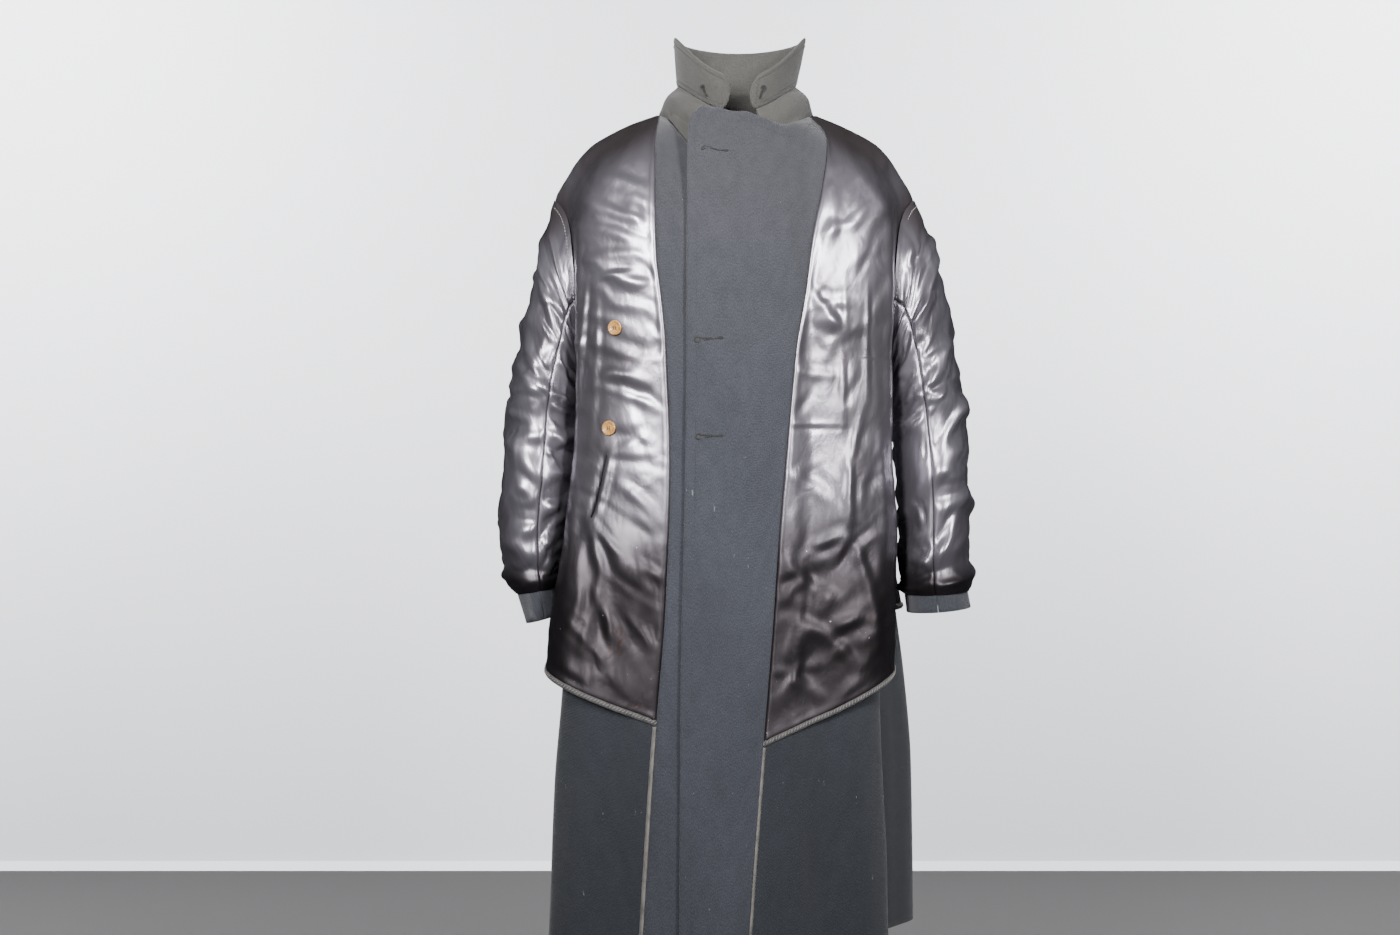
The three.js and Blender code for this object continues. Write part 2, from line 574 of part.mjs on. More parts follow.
function backLining() {
  return wall('lining_back', satin, 2 * BACK_STEPS + 1, liningLevels.length, (c, r, face) => (
    backLiningPoint(c, liningLevels[r], face * SATIN)));
}

function backBinding() {
  return wall('hem_binding_back', tape, 2 * BACK_STEPS + 1, 2, (c, r, face) => (
    backLiningPoint(c, BACK_LINING_HEM - GAP - r * BINDING, face * (SATIN + BINDING_EXTRA))));
}

// How far a sleeve's head stands off the lining it meets.
const ARMHOLE_STAND = 0.6;

// The armhole's edge on the body at one angle round the sleeve, from the shoulder's top through the front.
function armholePoint(side, turn) {
  const hand = FRONTS[side].hand;
  const level = mix(UNDERARM, SHOULDER_TIP, (1 + Math.cos(turn)) / 2);
  const around = hand * (0.5 - ARM_REACH * Math.sin(turn));
  return onBody(around, level, WOOL + GAP + SATIN + ARMHOLE_STAND);
}

// A point of a sleeve's inner face, down from 0 at the armhole to 1 at the cuff.
function smoothSleeve(side, down, turn) {
  const table = [{ at: 0 }, ...SLEEVES[side].map((row, i) => ({ ...row, at: (i + 1) / SLEEVES[side].length }))];
  const hand = FRONTS[side].hand;
  const rings = table.slice(1);
  const at = (key) => column(rings, 'at', key, Math.max(down, rings[0].at));
  const outer = new THREE.Vector3(hand * at('outX'), 0, at('outZ'));
  const inner = new THREE.Vector3(hand * at('inX'), 0, at('inZ'));
  const centre = outer.clone().add(inner).multiplyScalar(0.5);
  const reach = outer.sub(inner).multiplyScalar(0.5);
  reach.setLength(reach.length() - SLEEVE_LAYERS);
  const ring = centre.addScaledVector(reach, Math.cos(turn));
  ring.y = at('midY') - (at('depth') - SLEEVE_LAYERS) * Math.sin(turn);
  const share = smooth(down / rings[0].at);
  return share < 1 ? armholePoint(side, turn).lerp(ring, share) : ring;
}

function sleeveFold(down, turn) {
  const angle = THREE.MathUtils.radToDeg(turn);
  let height = 0;
  for (const fold of SLEEVE_FOLDS) {
    const round = ((angle - fold.turn + 540) % 360) - 180;
    const along = (down - fold.down - (fold.rise * round) / 100) / fold.width;
    const reach = Math.cos((Math.PI / 2) * clamp01(Math.abs(round) / fold.span));
    height = Math.max(height, fold.depth * Math.exp(-along * along) * reach);
  }
  return height;
}

// Offsets lead away from the armhole's middle where the sleeve starts, leaning out from the body, and end square
// to the sleeve, so that a wall never turns inside out under the arm.
const ARMHOLE_LEAN = 0.3;

function onSleeve(side, down, turn, off) {
  const surface = (a, b) => smoothSleeve(side, clamp01(b), a);
  const step = 0.01;
  const low = Math.max(0, down - step);
  const high = Math.min(1, down + step);
  const across = surface(turn + step, down).sub(surface(turn - step, down));
  const along = smoothSleeve(side, high, turn).sub(smoothSleeve(side, low, turn));
  const hand = FRONTS[side].hand;
  const normal = across.cross(along).normalize().multiplyScalar(hand);
  const fromArmhole = new THREE.Vector3(hand * ARMHOLE_LEAN, -Math.sin(turn), Math.cos(turn)).normalize();
  normal.copy(fromArmhole.lerp(normal, smooth(down / ARMHOLE_BLEND))).normalize();
  return smoothSleeve(side, down, turn).addScaledVector(normal, off);
}

const turnAt = (step) => (Math.PI * step) / ARM_STEPS;

// The two pieces of a sleeve: the upper one round the outside, and the under one against the body.
const SLEEVE_PIECES = {
  upper: { first: -SLEEVE_SEAM_STEP, last: SLEEVE_SEAM_STEP },
  under: { first: SLEEVE_SEAM_STEP, last: 2 * ARM_STEPS - SLEEVE_SEAM_STEP },
};
const SLEEVE_SEAM = 0.007;
const SLEEVE_WOOL = WOOL - 0.2;

function sleeveWall(prefix, material, side, piece, rings, end, place) {
  const { first, last } = SLEEVE_PIECES[piece];
  const columns = last - first + 1;
  return wall(`${prefix}_${side}_${piece}`, material, columns, rings, (c, r, face) => {
    const nudge = c === 0 ? SLEEVE_SEAM : c === columns - 1 ? -SLEEVE_SEAM : 0;
    return place((end * r) / (rings - 1), turnAt(first + c) + nudge, face);
  });
}

function sleeveWool(side, piece) {
  return sleeveWall('sleeve', wool, side, piece, SLEEVE_WOOL_RINGS, 1, (down, turn, face) => (
    onSleeve(side, down, turn, face * SLEEVE_WOOL)));
}

function sleeveSatin(side, piece) {
  const end = SLEEVE_SATIN_END[side];
  return sleeveWall('lining_sleeve', satin, side, piece, SLEEVE_RINGS, end, (down, turn, face) => {
    const ease = SLEEVE_EASE * smooth((end - down) / 0.02);
    const free = smooth(down / 0.12) * smooth((end - down) / 0.05);
    return onSleeve(side, down, turn, WOOL + 2 * GAP + face * SATIN + ease + free * sleeveFold(down, turn));
  });
}

// A point of a collar ring table: turn is 0 at the centre front and half a turn at the centre back.
function collarPoint(rings, share, turn, off) {
  const table = rings.map((row, i) => ({ ...row, at: i / (rings.length - 1) }));
  const at = (key) => column(table, 'at', key, share);
  const inFront = Math.cos(turn) > 0;
  const lean = Math.cos(turn) ** 2;
  const depth = (inFront ? at('front') : at('back')) + off;
  const level = mix(at('side'), inFront ? at('centreFront') : at('centreBack'), lean);
  return new THREE.Vector3(at('mid') + (at('half') + off) * Math.sin(turn), -depth * Math.cos(turn), level);
}

const degrees = THREE.MathUtils.degToRad;
const STAND_STEPS = 30;
const LEAF_STEPS = 34;

// The stand starts just inside the neck seam of the fronts and back.
function collarStand() {
  const from = degrees(-360 + STAND_END);
  const to = degrees(-STAND_END);
  return wall('collar_stand', collarWool, STAND_STEPS + 1, STAND_ROWS + 1, (c, r, face) => {
    const turn = mix(from, to, c / STAND_STEPS);
    const up = 1 - r / STAND_ROWS;
    const thick = (face - 1) * COLLAR;
    const seam = smoothBody(wrapAround(turn / Math.PI), 0);
    const inward = mix(NECK_INSET.side, NECK_INSET.front, Math.max(0, Math.cos(turn)));
    const inset = new THREE.Vector3(seam.x, seam.y, 0).normalize().multiplyScalar(thick - inward);
    seam.add(inset).add(new THREE.Vector3(0, 0, NECK_LIFT));
    const ring = collarPoint(STAND, (up * STAND_ROWS - 1) / (STAND_ROWS - 1), turn, thick);
    return seam.lerp(ring, clamp01(up * STAND_ROWS)).add(new THREE.Vector3(0, 0, -GAP * up));
  });
}

// The leaf's ends are round: its height closes towards each tip.
function collarLeaf() {
  const ends = [degrees(-360 + LEAF_TIPS.left), degrees(LEAF_TIPS.right)];
  const rows = 5;
  return wall('collar_leaf', collarWool, LEAF_STEPS + 1, rows, (c, r, face) => {
    const eased = 0.5 - 0.5 * Math.cos((Math.PI * c) / LEAF_STEPS);
    const share = mix(c / LEAF_STEPS, eased, 0.72);
    const turn = mix(ends[0], ends[1], share);
    const near = Math.min(turn - ends[0], ends[1] - turn) / degrees(LEAF_TIP_ROUND);
    const open = Math.sqrt(Math.max(0.006, 1 - (1 - clamp01(near)) ** 2));
    const height = 0.5 + (r / (rows - 1) - 0.5) * open;
    return collarPoint(LEAF, height, turn, (face - 1) * COLLAR);
  });
}

// A sewn button: a dished disc with a raised rim, seated on the lining along its normal.
function button(place) {
  const r = BUTTON_RADIUS;
  const t = BUTTON_THICK;
  const profile = [[0, 0], [r * 0.8, 0], [r, t * 0.4], [r * 0.97, t * 0.85], [r * 0.86, t], [r * 0.72, t * 0.85],
    [r * 0.62, t * 0.62], [0, t * 0.55]];
  const geometry = new THREE.LatheGeometry(profile.map(([x, y]) => new THREE.Vector2(x, y)), 24);
  const around = aroundAt(place.across, place.up);
  const front = FRONTS.right;
  const share = (around - front.facing(place.up)) / (sideSeam(front, place.up) - front.facing(place.up));
  const seat = liningPoint('right', share, place.up, SATIN + BUTTON_SEAT);
  const normal = outward(smoothBody, around, place.up, 0.004, 1);
  const mesh = new THREE.Mesh(geometry, horn);
  mesh.name = place.name;
  mesh.position.copy(seat);
  mesh.quaternion.setFromUnitVectors(new THREE.Vector3(0, 1, 0), normal);
  return mesh;
}

const coat = new THREE.Group();
for (const side of ['right', 'left']) {
  coat.add(frontWool(side), backWool(side), frontFacing(side), frontLining(side));
  coat.add(frontBinding(side), facingTape(side));
  for (const piece of ['upper', 'under']) coat.add(sleeveWool(side, piece), sleeveSatin(side, piece));
}
coat.add(backLining(), backBinding(), collarStand(), collarLeaf());
for (const place of BUTTONS) coat.add(button(place));

export default coat;
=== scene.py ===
"""Military overcoat worn inside out: satin lining and wool facings outside, collar standing up.
Sizes in the tables are millimetres in the frame's axes, turned to metres when a mesh is made."""
import math

import bpy
import numpy as np
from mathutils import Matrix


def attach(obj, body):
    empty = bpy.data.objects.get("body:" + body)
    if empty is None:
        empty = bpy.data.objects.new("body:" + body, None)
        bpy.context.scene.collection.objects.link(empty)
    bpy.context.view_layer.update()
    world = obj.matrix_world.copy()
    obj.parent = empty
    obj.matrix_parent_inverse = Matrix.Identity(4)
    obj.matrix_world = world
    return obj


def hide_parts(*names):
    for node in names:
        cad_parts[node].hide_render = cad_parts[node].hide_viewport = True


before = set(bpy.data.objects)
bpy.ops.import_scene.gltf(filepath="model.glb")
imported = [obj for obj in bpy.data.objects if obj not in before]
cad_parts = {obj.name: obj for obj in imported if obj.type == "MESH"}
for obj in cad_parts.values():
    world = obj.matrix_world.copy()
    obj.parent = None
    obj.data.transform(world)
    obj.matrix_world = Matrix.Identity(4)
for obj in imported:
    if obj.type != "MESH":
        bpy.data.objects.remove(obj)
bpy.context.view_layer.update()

MM = 0.001

# Sizes

WOOL, FACING, SATIN, COLLAR, GAP = 2.4, 1.9, 1.2, 3.2, 0.3
SHOULDER_TIP, UNDERARM, HEM, BACK_LINING_HEM = -112, -318, -1062, -636
ARM_REACH = 0.14
LAP, LAP_END, LAP_BACK, UNDER_EDGE = 8, 60, 95, 54
LAP_RISE_END = -76
FLARE_START, BACK_FLARE, BINDING = -440, 7, 6
SLEEVE_LAYERS, ARMHOLE_BLEND, ARMHOLE_LEAN = 5, 0.16, 0.3
SLEEVE_LENGTH, SLEEVE_EASE, SLEEVE_START = 560, 1.8, 0.4
ARMHOLE_STAND = WOOL + GAP + SATIN + 0.6
SKIRT_FOLD_GROWTH = 330
UNDER_EDGE_START, UNDER_EDGE_GROWTH = 0.72, 500
LEAST_STEP = 1e-9

# places round the body run from 0 at the centre front to 1 or -1 at the centre back
HALF_GIRTH = 640
SEAM = 0.0003

SECTION_COLUMNS = ("level", "cornerR", "cornerL", "cornerY", "front", "sideR", "sideL", "rearR", "rearL",
                   "rearY", "back", "dropFront", "dropBack")
SECTIONS = (
    (0, 74, 76, 66, 100, 102, 104, 74, 74, 51, 69, -80, 10),
    (-14, 100, 100, 74, 104, 139, 138, 98, 98, 61, 84, -76, -2),
    (-41, 144, 140, 80, 113, 187, 185, 138, 138, 71, 98, -73, -11),
    (-76, 175, 171, 83, 122, 213, 211, 166, 166, 77, 107, -67, -19),
    (-112, 190, 187, 85, 127, 230, 228, 182, 182, 80, 111, -60, -22),
    (-165, 194, 190, 86, 130, 222, 220, 188, 188, 82, 113, -46, -18),
    (-215, 194, 190, 85, 131, 208, 206, 188, 188, 82, 113, -30, -12),
    (-265, 194, 190, 83, 131, 192, 190, 184, 184, 78, 112, -14, -6),
    (-318, 194, 189, 80, 130, 178, 176, 178, 178, 74, 110, 0, 0),
    (-400, 196, 190, 80, 129, 182, 181, 178, 182, 74, 108, 0, 0),
    (-500, 203, 194, 82, 129, 190, 188, 184, 194, 78, 112, 0, 0),
    (-636, 209, 182, 84, 131, 199, 184, 194, 212, 84, 120, 0, 0),
    (-735, 214, 176, 88, 133, 204, 172, 200, 226, 90, 128, 0, 0),
    (-850, 223, 183, 92, 138, 211, 170, 206, 236, 97, 137, 0, 0),
    (-1062, 231, 189, 96, 146, 216, 170, 212, 240, 105, 150, 0, 0),
)

# around, width, depth, start
SKIRT_FOLDS = ((-0.235, 0.034, 5, -600), (-0.15, 0.035, -4, -640), (0.115, 0.03, 3, -700),
               (0.19, 0.035, -4, -640), (-0.44, 0.03, -9, -560), (-0.72, 0.045, 6, -560),
               (-0.83, 0.04, -8, -600), (-0.92, 0.035, 6, -660), (0.985, 0.03, -7, -600),
               (0.9, 0.035, 7, -620), (0.8, 0.04, -7, -560))

# around and level at both ends, half-width, height
SATIN_FOLDS = (
    (-0.21, -70, -0.13, -125, 13, 3.5), (-0.29, -175, -0.15, -205, 13, 3),
    (-0.27, -345, -0.13, -330, 13, 3), (-0.22, -520, -0.15, -600, 15, 4.5),
    (-0.27, -560, -0.25, -690, 15, 4), (-0.3, -120, -0.305, -460, 11, 3), (0.17, -60, 0.13, -150, 13, 4),
    (0.3, -100, 0.3, -420, 12, 3.5), (0.13, -250, 0.2, -270, 13, 3.5), (0.15, -560, 0.22, -440, 17, 4.5),
    (0.1, -680, 0.19, -590, 15, 4), (0.26, -540, 0.25, -690, 15, 4), (0.62, -330, 0.86, -300, 17, 4),
    (0.68, -470, 0.9, -520, 17, 4), (-0.64, -340, -0.88, -310, 17, 4), (-0.7, -480, -0.92, -440, 17, 4),
    (-0.74, -130, -0.86, -210, 16, 4), (0.74, -130, 0.87, -200, 16, 4), (0.995, -250, 0.995, -610, 12, 5),
)

# level and width across from the middle
OVER_EDGE = ((0, -40), (-14, -57), (-41, -59), (-300, -59), (-500, -61.5), (-712, -66), (-1062, -68))
OVER_FACING = ((0, 94), (-20, 113), (-54, 106), (-118, 93), (-205, 84), (-316, 70), (-414, 61), (-533, 51),
               (-652, 43), (-792, 32), (-934, 21), (-1062, 12))
UNDER_FACING = ((0, -96), (-20, -101), (-150, -98), (-220, -92), (-290, -87), (-450, -81.5), (-630, -88),
                (-768, -99), (-850, -105), (-1062, -118))
LAP_RISE = ((-60, 57), (-40, 59), (-20, 68), (8, 67), (31, 52), (62, 21), (90, 0))
LINING_HEM = {"right": (20, ((0, -766), (0.5, -710), (1, -646))),
              "left": (15, ((0, -790), (0.52, -717), (1, -646)))}

# outX, outZ, inX, inZ, midY, depth, from the armhole down
SLEEVES = {
    "right": ((243, -143, 190, -323, 2, 66), (253, -180, 196, -332, 3, 71), (262, -232, 201, -348, 4, 76),
              (276, -286, 203, -370, 5, 79), (288, -335, 204, -396, 5, 80), (294, -390, 205, -430, 4, 79),
              (300, -450, 207, -470, 1, 77), (303, -512, 213, -518, -2, 73), (299, -565, 219, -560, -1, 67),
              (288, -608, 223, -598, 1, 61), (274, -655, 221, -640, 3, 58)),
    "left": ((246, -141, 190, -323, 2, 66), (259, -180, 196, -332, 3, 71), (268, -228, 201, -348, 4, 76),
             (279, -286, 203, -370, 5, 79), (289, -335, 205, -396, 4, 80), (296, -392, 207, -430, 2, 79),
             (300, -450, 211, -470, -2, 77), (300, -512, 214, -518, -5, 73), (299, -565, 215, -562, -8, 68),
             (302, -603, 216, -606, -10, 64), (307, -632, 219, -640, -12, 62)),
}
SATIN_END = {"right": 0.925, "left": 0.935}
SLEEVE_SEAM_TURN = math.radians(100)

# down, turn in degrees, rise, span, width, depth
SLEEVE_FOLDS = (
    (0.2, 60, 0.12, 70, 0.03, 4), (0.31, 20, -0.1, 60, 0.03, 4), (0.4, 80, 0.14, 60, 0.028, 4.5),
    (0.5, 50, -0.12, 75, 0.03, 4.5), (0.61, 70, 0.1, 60, 0.03, 4), (0.7, 30, -0.1, 70, 0.028, 4),
    (0.79, 60, 0.08, 80, 0.028, 5), (0.87, 20, 0.03, 120, 0.025, 6), (0.3, 230, 0.1, 60, 0.03, 4),
    (0.47, 250, -0.1, 60, 0.03, 4), (0.66, 240, 0.1, 60, 0.03, 4), (0.82, 250, -0.06, 70, 0.028, 5),
)

# half, mid, front, back, side, centreFront, centreBack
STAND = ((95, 2, 83, 69, 16, -46, 23), (88.5, 2, 88, 66, 29, -24, 32), (77, 2, 86, 62, 40, -6, 40))
LEAF = ((77, 2, 87, 62, 40.2, -5.3, 40.2), (81, 4, 92, 67, 68, 16, 66), (86, 6, 95, 73, 104, 36, 100))
LEAF_TIPS = {"right": -8.5, "left": 9.5}
LEAF_TIP_ROUND, STAND_END = 9, 18

# how finely each cloth's mesh is cut, in millimetres
STEP = {"wool": 9.0, "facing": 5.0, "satin": 3.2, "sleeve": 2.7, "collar": 2.6}

# Curves and surfaces


def smooth(x):
    """0 to 1 with soft ends."""
    x = np.clip(x, 0, 1)
    return x * x * (3 - 2 * x)


def mix(a, b, share):
    return a + (b - a) * share


def curve(rows, at):
    """Smooth, monotone interpolation through rows of (x, y)."""
    rows = sorted(rows)
    x = np.array([r[0] for r in rows], float)
    y = np.array([r[1] for r in rows], float)
    slope = np.diff(y) / np.diff(x)
    tangent = np.zeros_like(y)
    tangent[0], tangent[-1] = slope[0], slope[-1]
    product = slope[:-1] * slope[1:]
    total = slope[:-1] + slope[1:]
    tangent[1:-1] = np.where(product > 0, 2 * product / np.where(total == 0, 1, total), 0)
    p = np.clip(np.asarray(at, float), x[0], x[-1])
    i = np.clip(np.searchsorted(x, p, side="right") - 1, 0, len(x) - 2)
    step = x[i + 1] - x[i]
    s = (p - x[i]) / step
    a = (1 + 2 * s) * (1 - s) ** 2
    return (a * y[i] + s * (1 - s) ** 2 * step * tangent[i] + (1 - a) * y[i + 1]
            + s * s * (s - 1) * step * tangent[i + 1])


def section(level):
    """The measures of the body's section at a level, by name."""
    return {key: curve([(row[0], row[k]) for row in SECTIONS], level)
            for k, key in enumerate(SECTION_COLUMNS) if k}


def half_section(row, hand):
    """Eleven points across and out, from the centre front to the centre back on one side."""
    corner, side, rear = row["corner" + hand], row["side" + hand], row["rear" + hand]
    fall = row["front"] - row["cornerY"]
    rise = row["back"] - row["rearY"]
    zero = np.zeros_like(corner)
    x = [zero, 0.36 * corner, 0.74 * corner, corner, mix(side, corner, 0.55), side,
         mix(side, rear, 0.55), rear, 0.78 * rear, 0.42 * rear, zero]
    y = [-row["front"], -(row["front"] - 0.06 * fall), -(row["front"] - 0.38 * fall), -row["cornerY"],
         -0.45 * row["cornerY"], zero, 0.5 * row["rearY"], row["rearY"], row["rearY"] + 0.55 * rise,
         row["rearY"] + 0.92 * rise, row["back"]]
    return np.stack(x), np.stack(y)


def body(around, level):
    """A point of the body's inner face; around is 0 at the centre front and 1 or -1 at the centre back."""
    around, level = np.broadcast_arrays(np.asarray(around, float), np.asarray(level, float))
    shape = around.shape
    around, level = around.ravel(), level.ravel()
    row = section(level)
    halves = {1: half_section(row, "L"), -1: half_section(row, "R")}
    at = around * 10
    k = np.floor(at).astype(int)
    s = at - k
    each = np.arange(len(at))

    def turning(index):
        index = (index + 30) % 20 - 10
        depth = np.abs(index)
        left = index >= 0
        x = np.where(left, halves[1][0][depth, each], -halves[-1][0][depth, each])
        return x, np.where(left, halves[1][1][depth, each], halves[-1][1][depth, each])

    p = [turning(k + d) for d in (-1, 0, 1, 2)]
    out = [0.5 * (2 * p[1][a] + (p[2][a] - p[0][a]) * s
                  + (2 * p[0][a] - 5 * p[1][a] + 4 * p[2][a] - p[3][a]) * s * s
                  + (3 * p[1][a] - p[0][a] - 3 * p[2][a] + p[3][a]) * s ** 3) for a in (0, 1)]
    turn = np.cos(np.pi * around) ** 2
    near = np.abs(around - 2 * np.round(around / 2)) < 0.5
    z = level + turn * np.where(near, row["dropFront"], row["dropBack"])
    return np.stack([out[0], out[1], z], -1).reshape(*shape, 3)


def unit(v):
    return v / np.maximum(np.linalg.norm(v, axis=-1, keepdims=True), LEAST_STEP)


def body_normal(around, level):
    along_a = body(around + 0.004, level) - body(around - 0.004, level)
    along_b = body(around, level + 1) - body(around, level - 1)
    return unit(np.cross(along_a, along_b))


def skirt_fold(around, level):
    height = 0
    for at, width, depth, start in SKIRT_FOLDS:
        away = np.abs(around - at)
        near = np.minimum(away, 2 - away) / width
        height = height + depth * np.exp(-near * near) * smooth((start - level) / SKIRT_FOLD_GROWTH)
    return height


def on_body(around, level, off):
    """A point of the body at a distance outward from its inner face."""
    out = np.asarray(off + skirt_fold(around, level))[..., None]
    return body(around, level) + body_normal(around, level) * out


def around_at(across, level):
    """Where a width across from the middle falls round the front, one answer for each level."""
    places = np.arange(0, 0.4601, 0.005)
    hand = np.sign(across)
    wide = np.abs(body(hand[:, None] * places[None], level[:, None])[..., 0])
    wide = np.maximum.accumulate(wide, 1)
    return hand * np.array([np.interp(abs(a), w, places) for a, w in zip(across, wide)])


def armhole(level):
    """How far the armhole cuts in from the side, as a share of half the girth."""
    share = (level - (SHOULDER_TIP + UNDERARM) / 2) / ((SHOULDER_TIP - UNDERARM) / 2)
    return ARM_REACH * np.sqrt(np.clip(1 - share * share, 0, None))


def lay_left(around, level, off):
    """The left front laps over the right and rises to a point at the neck."""
    lap = LAP * (1 - smooth((body(around, level)[..., 0] - LAP_END) / (LAP_BACK - LAP_END)))
    point = on_body(around, level, off + lap)
    share = np.clip(1 - level / LAP_RISE_END, 0, 1)
    point[..., 2] += share * curve(LAP_RISE, point[..., 0])
    return point


HAND = {"right": -1, "left": 1}
LAY = {"right": on_body, "left": lay_left}


def facing_line(side, level):
    rows = OVER_FACING if side == "left" else UNDER_FACING
    return around_at(curve(rows, level), level)


def free_edge(side, level):
    if side == "left":
        return around_at(curve(OVER_EDGE, level), level)
    return around_at(UNDER_EDGE * np.minimum(1, UNDER_EDGE_START - level / UNDER_EDGE_GROWTH), level)


def side_seam(side, level):
    return HAND[side] * (0.5 - armhole(level) - SEAM)


def satin_fold(around, level):
    height = 0
    for a0, l0, a1, l1, width, depth in SATIN_FOLDS:
        ends = ((a1 - a0) * HALF_GIRTH, l1 - l0)
        here = ((around - a0) * HALF_GIRTH, level - l0)
        share = np.clip((here[0] * ends[0] + here[1] * ends[1]) / (ends[0] ** 2 + ends[1] ** 2), 0, 1)
        away = np.hypot(here[0] - share * ends[0], here[1] - share * ends[1]) / width
        height = np.maximum(height, depth * np.exp(-away * away) * np.sin(np.pi * mix(0.12, 0.88, share)))
    return height


def armhole_point(side, turn, off):
    level = mix(UNDERARM, SHOULDER_TIP, (1 + np.cos(turn)) / 2)
    return on_body(HAND[side] * (0.5 - ARM_REACH * np.sin(turn)), level, off)


def smooth_sleeve(side, down, turn, start=ARMHOLE_STAND):
    down, turn = np.broadcast_arrays(np.asarray(down, float), np.asarray(turn, float))
    rings = SLEEVES[side]
    first = 1 / len(rings)
    at = np.maximum(down, first)
    out_x, out_z, in_x, in_z, mid, depth = (
        curve([((i + 1) / len(rings), r[k]) for i, r in enumerate(rings)], at) for k in range(6))
    centre = np.stack([(out_x + in_x) / 2, 0 * mid, (out_z + in_z) / 2], -1)
    reach = np.stack([(out_x - in_x) / 2, 0 * mid, (out_z - in_z) / 2], -1)
    length = np.linalg.norm(reach, axis=-1, keepdims=True)
    ring = centre + reach / length * (length - SLEEVE_LAYERS) * np.cos(turn)[..., None]
    ring[..., 0] *= HAND[side]
    ring[..., 1] = mid - (depth - SLEEVE_LAYERS) * np.sin(turn)
    share = smooth(down / first)[..., None]
    return mix(armhole_point(side, turn, start), ring, share)


def on_sleeve(side, down, turn, off, start=ARMHOLE_STAND, blend=ARMHOLE_BLEND):
    """A point off the sleeve, and its outward direction, which leans away from the armhole at the head."""
    step = 0.01
    low, high = np.maximum(0, down - step), np.minimum(1, down + step)
    across = smooth_sleeve(side, down, turn + step, start) - smooth_sleeve(side, down, turn - step, start)
    along = smooth_sleeve(side, high, turn, start) - smooth_sleeve(side, low, turn, start)
    normal = unit(np.cross(across, along)) * HAND[side]
    out = unit(np.stack([HAND[side] * ARMHOLE_LEAN + 0 * turn, -np.sin(turn), np.cos(turn)], -1))
    normal = unit(mix(out, normal, smooth(down / blend)[..., None]))
    return smooth_sleeve(side, down, turn, start) + normal * np.asarray(off)[..., None], normal


def sleeve_fold(down, turn):
    degrees = np.degrees(turn)
    height = 0
    for at, middle, rise, span, width, depth in SLEEVE_FOLDS:
        far = (degrees - middle + 540) % 360 - 180
        along = (down - at - rise * far / 100) / width
        reach = np.cos(np.pi / 2 * np.clip(np.abs(far) / span, 0, 1))
        height = np.maximum(height, depth * np.exp(-along * along) * reach)
    return height


# Creases

def crease_relief(s, t, rows):
    """Soft ridges with a trough beside them. Rows: s and t at both ends, half-width, height, bend."""
    height = np.zeros_like(s)
    for s0, t0, s1, t1, width, depth, bend in rows:
        ds, dt = s1 - s0, t1 - t0
        length = math.hypot(ds, dt)
        ex, ey = ds / length, dt / length
        along = ((s - s0) * ex + (t - t0) * ey) / length
        near = (along > -0.15) & (along < 1.15)
        far = np.abs(-(s - s0) * ey + (t - t0) * ex) < 5 * width + abs(bend)
        pick = near & far
        if not pick.any():
            continue
        a = np.clip(along[pick], 0, 1)
        d = (-(s[pick] - s0) * ey + (t[pick] - t0) * ex) - bend * 4 * a * (1 - a)
        taper = np.sin(np.pi * mix(0.04, 0.96, a)) ** 0.8 * smooth((along[pick] + 0.15) / 0.15) \
            * smooth((1.15 - along[pick]) / 0.15)
        here = d / width
        height[pick] += depth * taper * (np.exp(-here * here) - 0.55 * np.exp(-((here - 1.7) ** 2)))
    return height


def scattered(seed, count, s_span, t_span, angle, spread, length, width, depth, bend=6):
    """Seeded small creases over one region, about one direction."""
    rng = np.random.default_rng(seed)
    rows = []
    for _ in range(count):
        s, t = rng.uniform(*s_span), rng.uniform(*t_span)
        turn = math.radians(angle + rng.normal() * spread)
        half = rng.uniform(*length) / 2
        wide = rng.uniform(*width)
        high = rng.uniform(*depth) * rng.choice((-1, 1))
        rows.append((s - half * math.cos(turn), t - half * math.sin(turn), s + half * math.cos(turn),
                     t + half * math.sin(turn), wide, high, rng.uniform(-bend, bend)))
    return rows


def swell(s, t, seed, wave, height):
    """Slow uneven rise and fall of cloth."""
    rng = np.random.default_rng(seed)
    total = 0
    for _ in range(7):
        turn, phase, size = rng.uniform(0, math.tau), rng.uniform(0, math.tau), rng.uniform(0.7, 1.5) * wave
        total = total + np.sin((s * math.cos(turn) + t * math.sin(turn)) * math.tau / size + phase)
    return height * total / 3.2


# Meshes

def add_object(name, data):
    made = bpy.data.objects.new(name, data)
    bpy.context.collection.objects.link(made)
    return made


def grid_faces(rows, columns, first=0, flip=False):
    r, c = np.meshgrid(np.arange(rows - 1), np.arange(columns - 1), indexing="ij")
    a = (first + r * columns + c).ravel()
    quads = np.stack([a, a + columns, a + columns + 1, a + 1], -1)
    return quads[:, ::-1] if flip else quads


